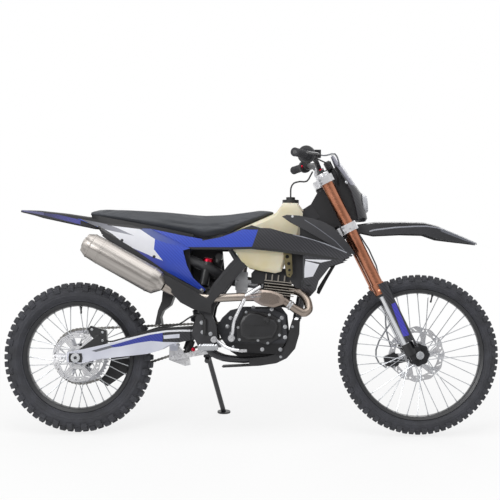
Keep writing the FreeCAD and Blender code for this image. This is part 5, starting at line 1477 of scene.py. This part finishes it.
cooling, infill = Shape(), Shape()
LEVELS = [645 + 14 * k for k in range(14)]
for s in (-1, 1):
    for z0, z1 in zip(LEVELS, LEVELS[1:]):
        reach = s * max(min(core_reach(z0), core_reach(z1)), 70.0)
        stack(cooling, ((194, s * 62), (228, s * 62), (228, reach), (194, reach)), (z0, z1))
        slat = ((228, s * 64), (238, s * 64), (238, reach - s * 2), (228, reach - s * 2))
        stack(cooling, slat, (z0 + 5, z0 + 9))
    stack(cooling, ((188, s * 60), (232, s * 60), (232, s * 118), (188, s * 118)), (827, 852))
    rings_joined(infill, [[Vector((x, s * (shroud_y(x, z) - sunk), z))
                           for x, sunk in ((200, 0.4), (240, 0.4), (240, 5.0), (200, 5.0))]
                          for z in range(652, 740, 7)])
core = placed(cooling, "radiator_cores", "chassis", RADIATOR, 0.4)
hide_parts("radiators")
placed(infill, "lower_shroud_infill", "chassis", LOUVRE)

# %% [markdown]
# Footpegs are open frames with sharp teeth along their edges, so that muddy boots hold.

# %% Footpeg teeth
PEG_TOP, TIP = 389.5, 396
teeth = Shape()
spots = [(x, y) for y in range(158, 230, 10) for x in (-243, -175)]
spots += [(x, y) for x in range(-231, -180, 11) for y in (146, 232)]
for s in (-1, 1):
    for x, y in spots:
        base = [(x + dx, s * y + dy, PEG_TOP) for dx, dy in ((-4, -4), (4, -4), (4, 4), (-4, 4))]
        teeth.add(base + [(x, s * y, TIP)], [[3, 2, 1, 0], [0, 1, 4], [1, 2, 4], [2, 3, 4], [3, 0, 4]])
placed(teeth, "footpeg_teeth", "chassis", STEEL)

# %% [markdown]
# The seat is foam under a stretched vinyl cover, stapled under a stiff pan. The cover bulges
# between its edges and pulls in at the hem. The measured solid is copied, remeshed evenly and
# inflated a little as cloth, with its underside held still, so the sides swell softly.

# %% Seat
VOXEL = 0.0055
SWELL = 0.008


def cushion(name, source, shrink):
    """A remeshed, slightly smaller copy of a solid, ready to be inflated."""
    piece = bpy.data.objects.new(name, source.data.copy())
    bpy.context.scene.collection.objects.link(piece)
    remesh = piece.modifiers.new("even", "REMESH")
    remesh.mode = "VOXEL"
    remesh.voxel_size = VOXEL
    even = bpy.data.meshes.new_from_object(piece.evaluated_get(bpy.context.evaluated_depsgraph_get()))
    piece.modifiers.clear()
    piece.data = even
    whole = bmesh.new()
    whole.from_mesh(even)
    for _ in range(4):
        bmesh.ops.smooth_vert(whole, verts=whole.verts, factor=0.5, use_axis_x=True, use_axis_y=True,
                              use_axis_z=True)
    whole.normal_update()
    for v, step in [(v, v.normal * -shrink) for v in whole.verts]:
        v.co += step
    whole.to_mesh(even)
    whole.free()
    return piece


def inflate(piece, held, pressure=4.0, frames=20, cap=SWELL):
    """Blows the cover up against the held points and caps how far it may move."""
    group = piece.vertex_groups.new(name="held")
    group.add(held, 1.0, "ADD")
    cloth = piece.modifiers.new("cover", "CLOTH")
    cloth.settings.use_pressure = True
    cloth.settings.uniform_pressure_force = pressure
    cloth.settings.vertex_group_mass = "held"
    cloth.settings.quality = 5
    cloth.settings.effector_weights.gravity = 0.0
    start = [v.co.copy() for v in piece.data.vertices]
    for number in range(1, frames + 1):
        bpy.context.scene.frame_set(number)
    blown = piece.evaluated_get(bpy.context.evaluated_depsgraph_get()).to_mesh()
    for v, a, b in zip(piece.data.vertices, start, [w.co.copy() for w in blown.vertices]):
        move = b - a
        v.co = a + move * min(1.0, cap / max(move.length, 1e-9))
    piece.modifiers.remove(cloth)
    bpy.context.scene.frame_set(1)


UP = (LEANING @ Vector((0, 0, 1))).normalized()
seat = cushion("seat_cover", NODES["seat"], 0.003)
under = [v.index for v in seat.data.vertices if v.normal.dot(UP) < -0.35]
inflate(seat, under)
seat.data.materials.clear()
seat.data.materials.append(VINYL)
for face in seat.data.polygons:
    face.use_smooth = True
fine = seat.modifiers.new("fine", "SUBSURF")
fine.levels = fine.render_levels = 1
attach(seat, "chassis")
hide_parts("seat")
print("seat", len(seat.data.vertices), "points")
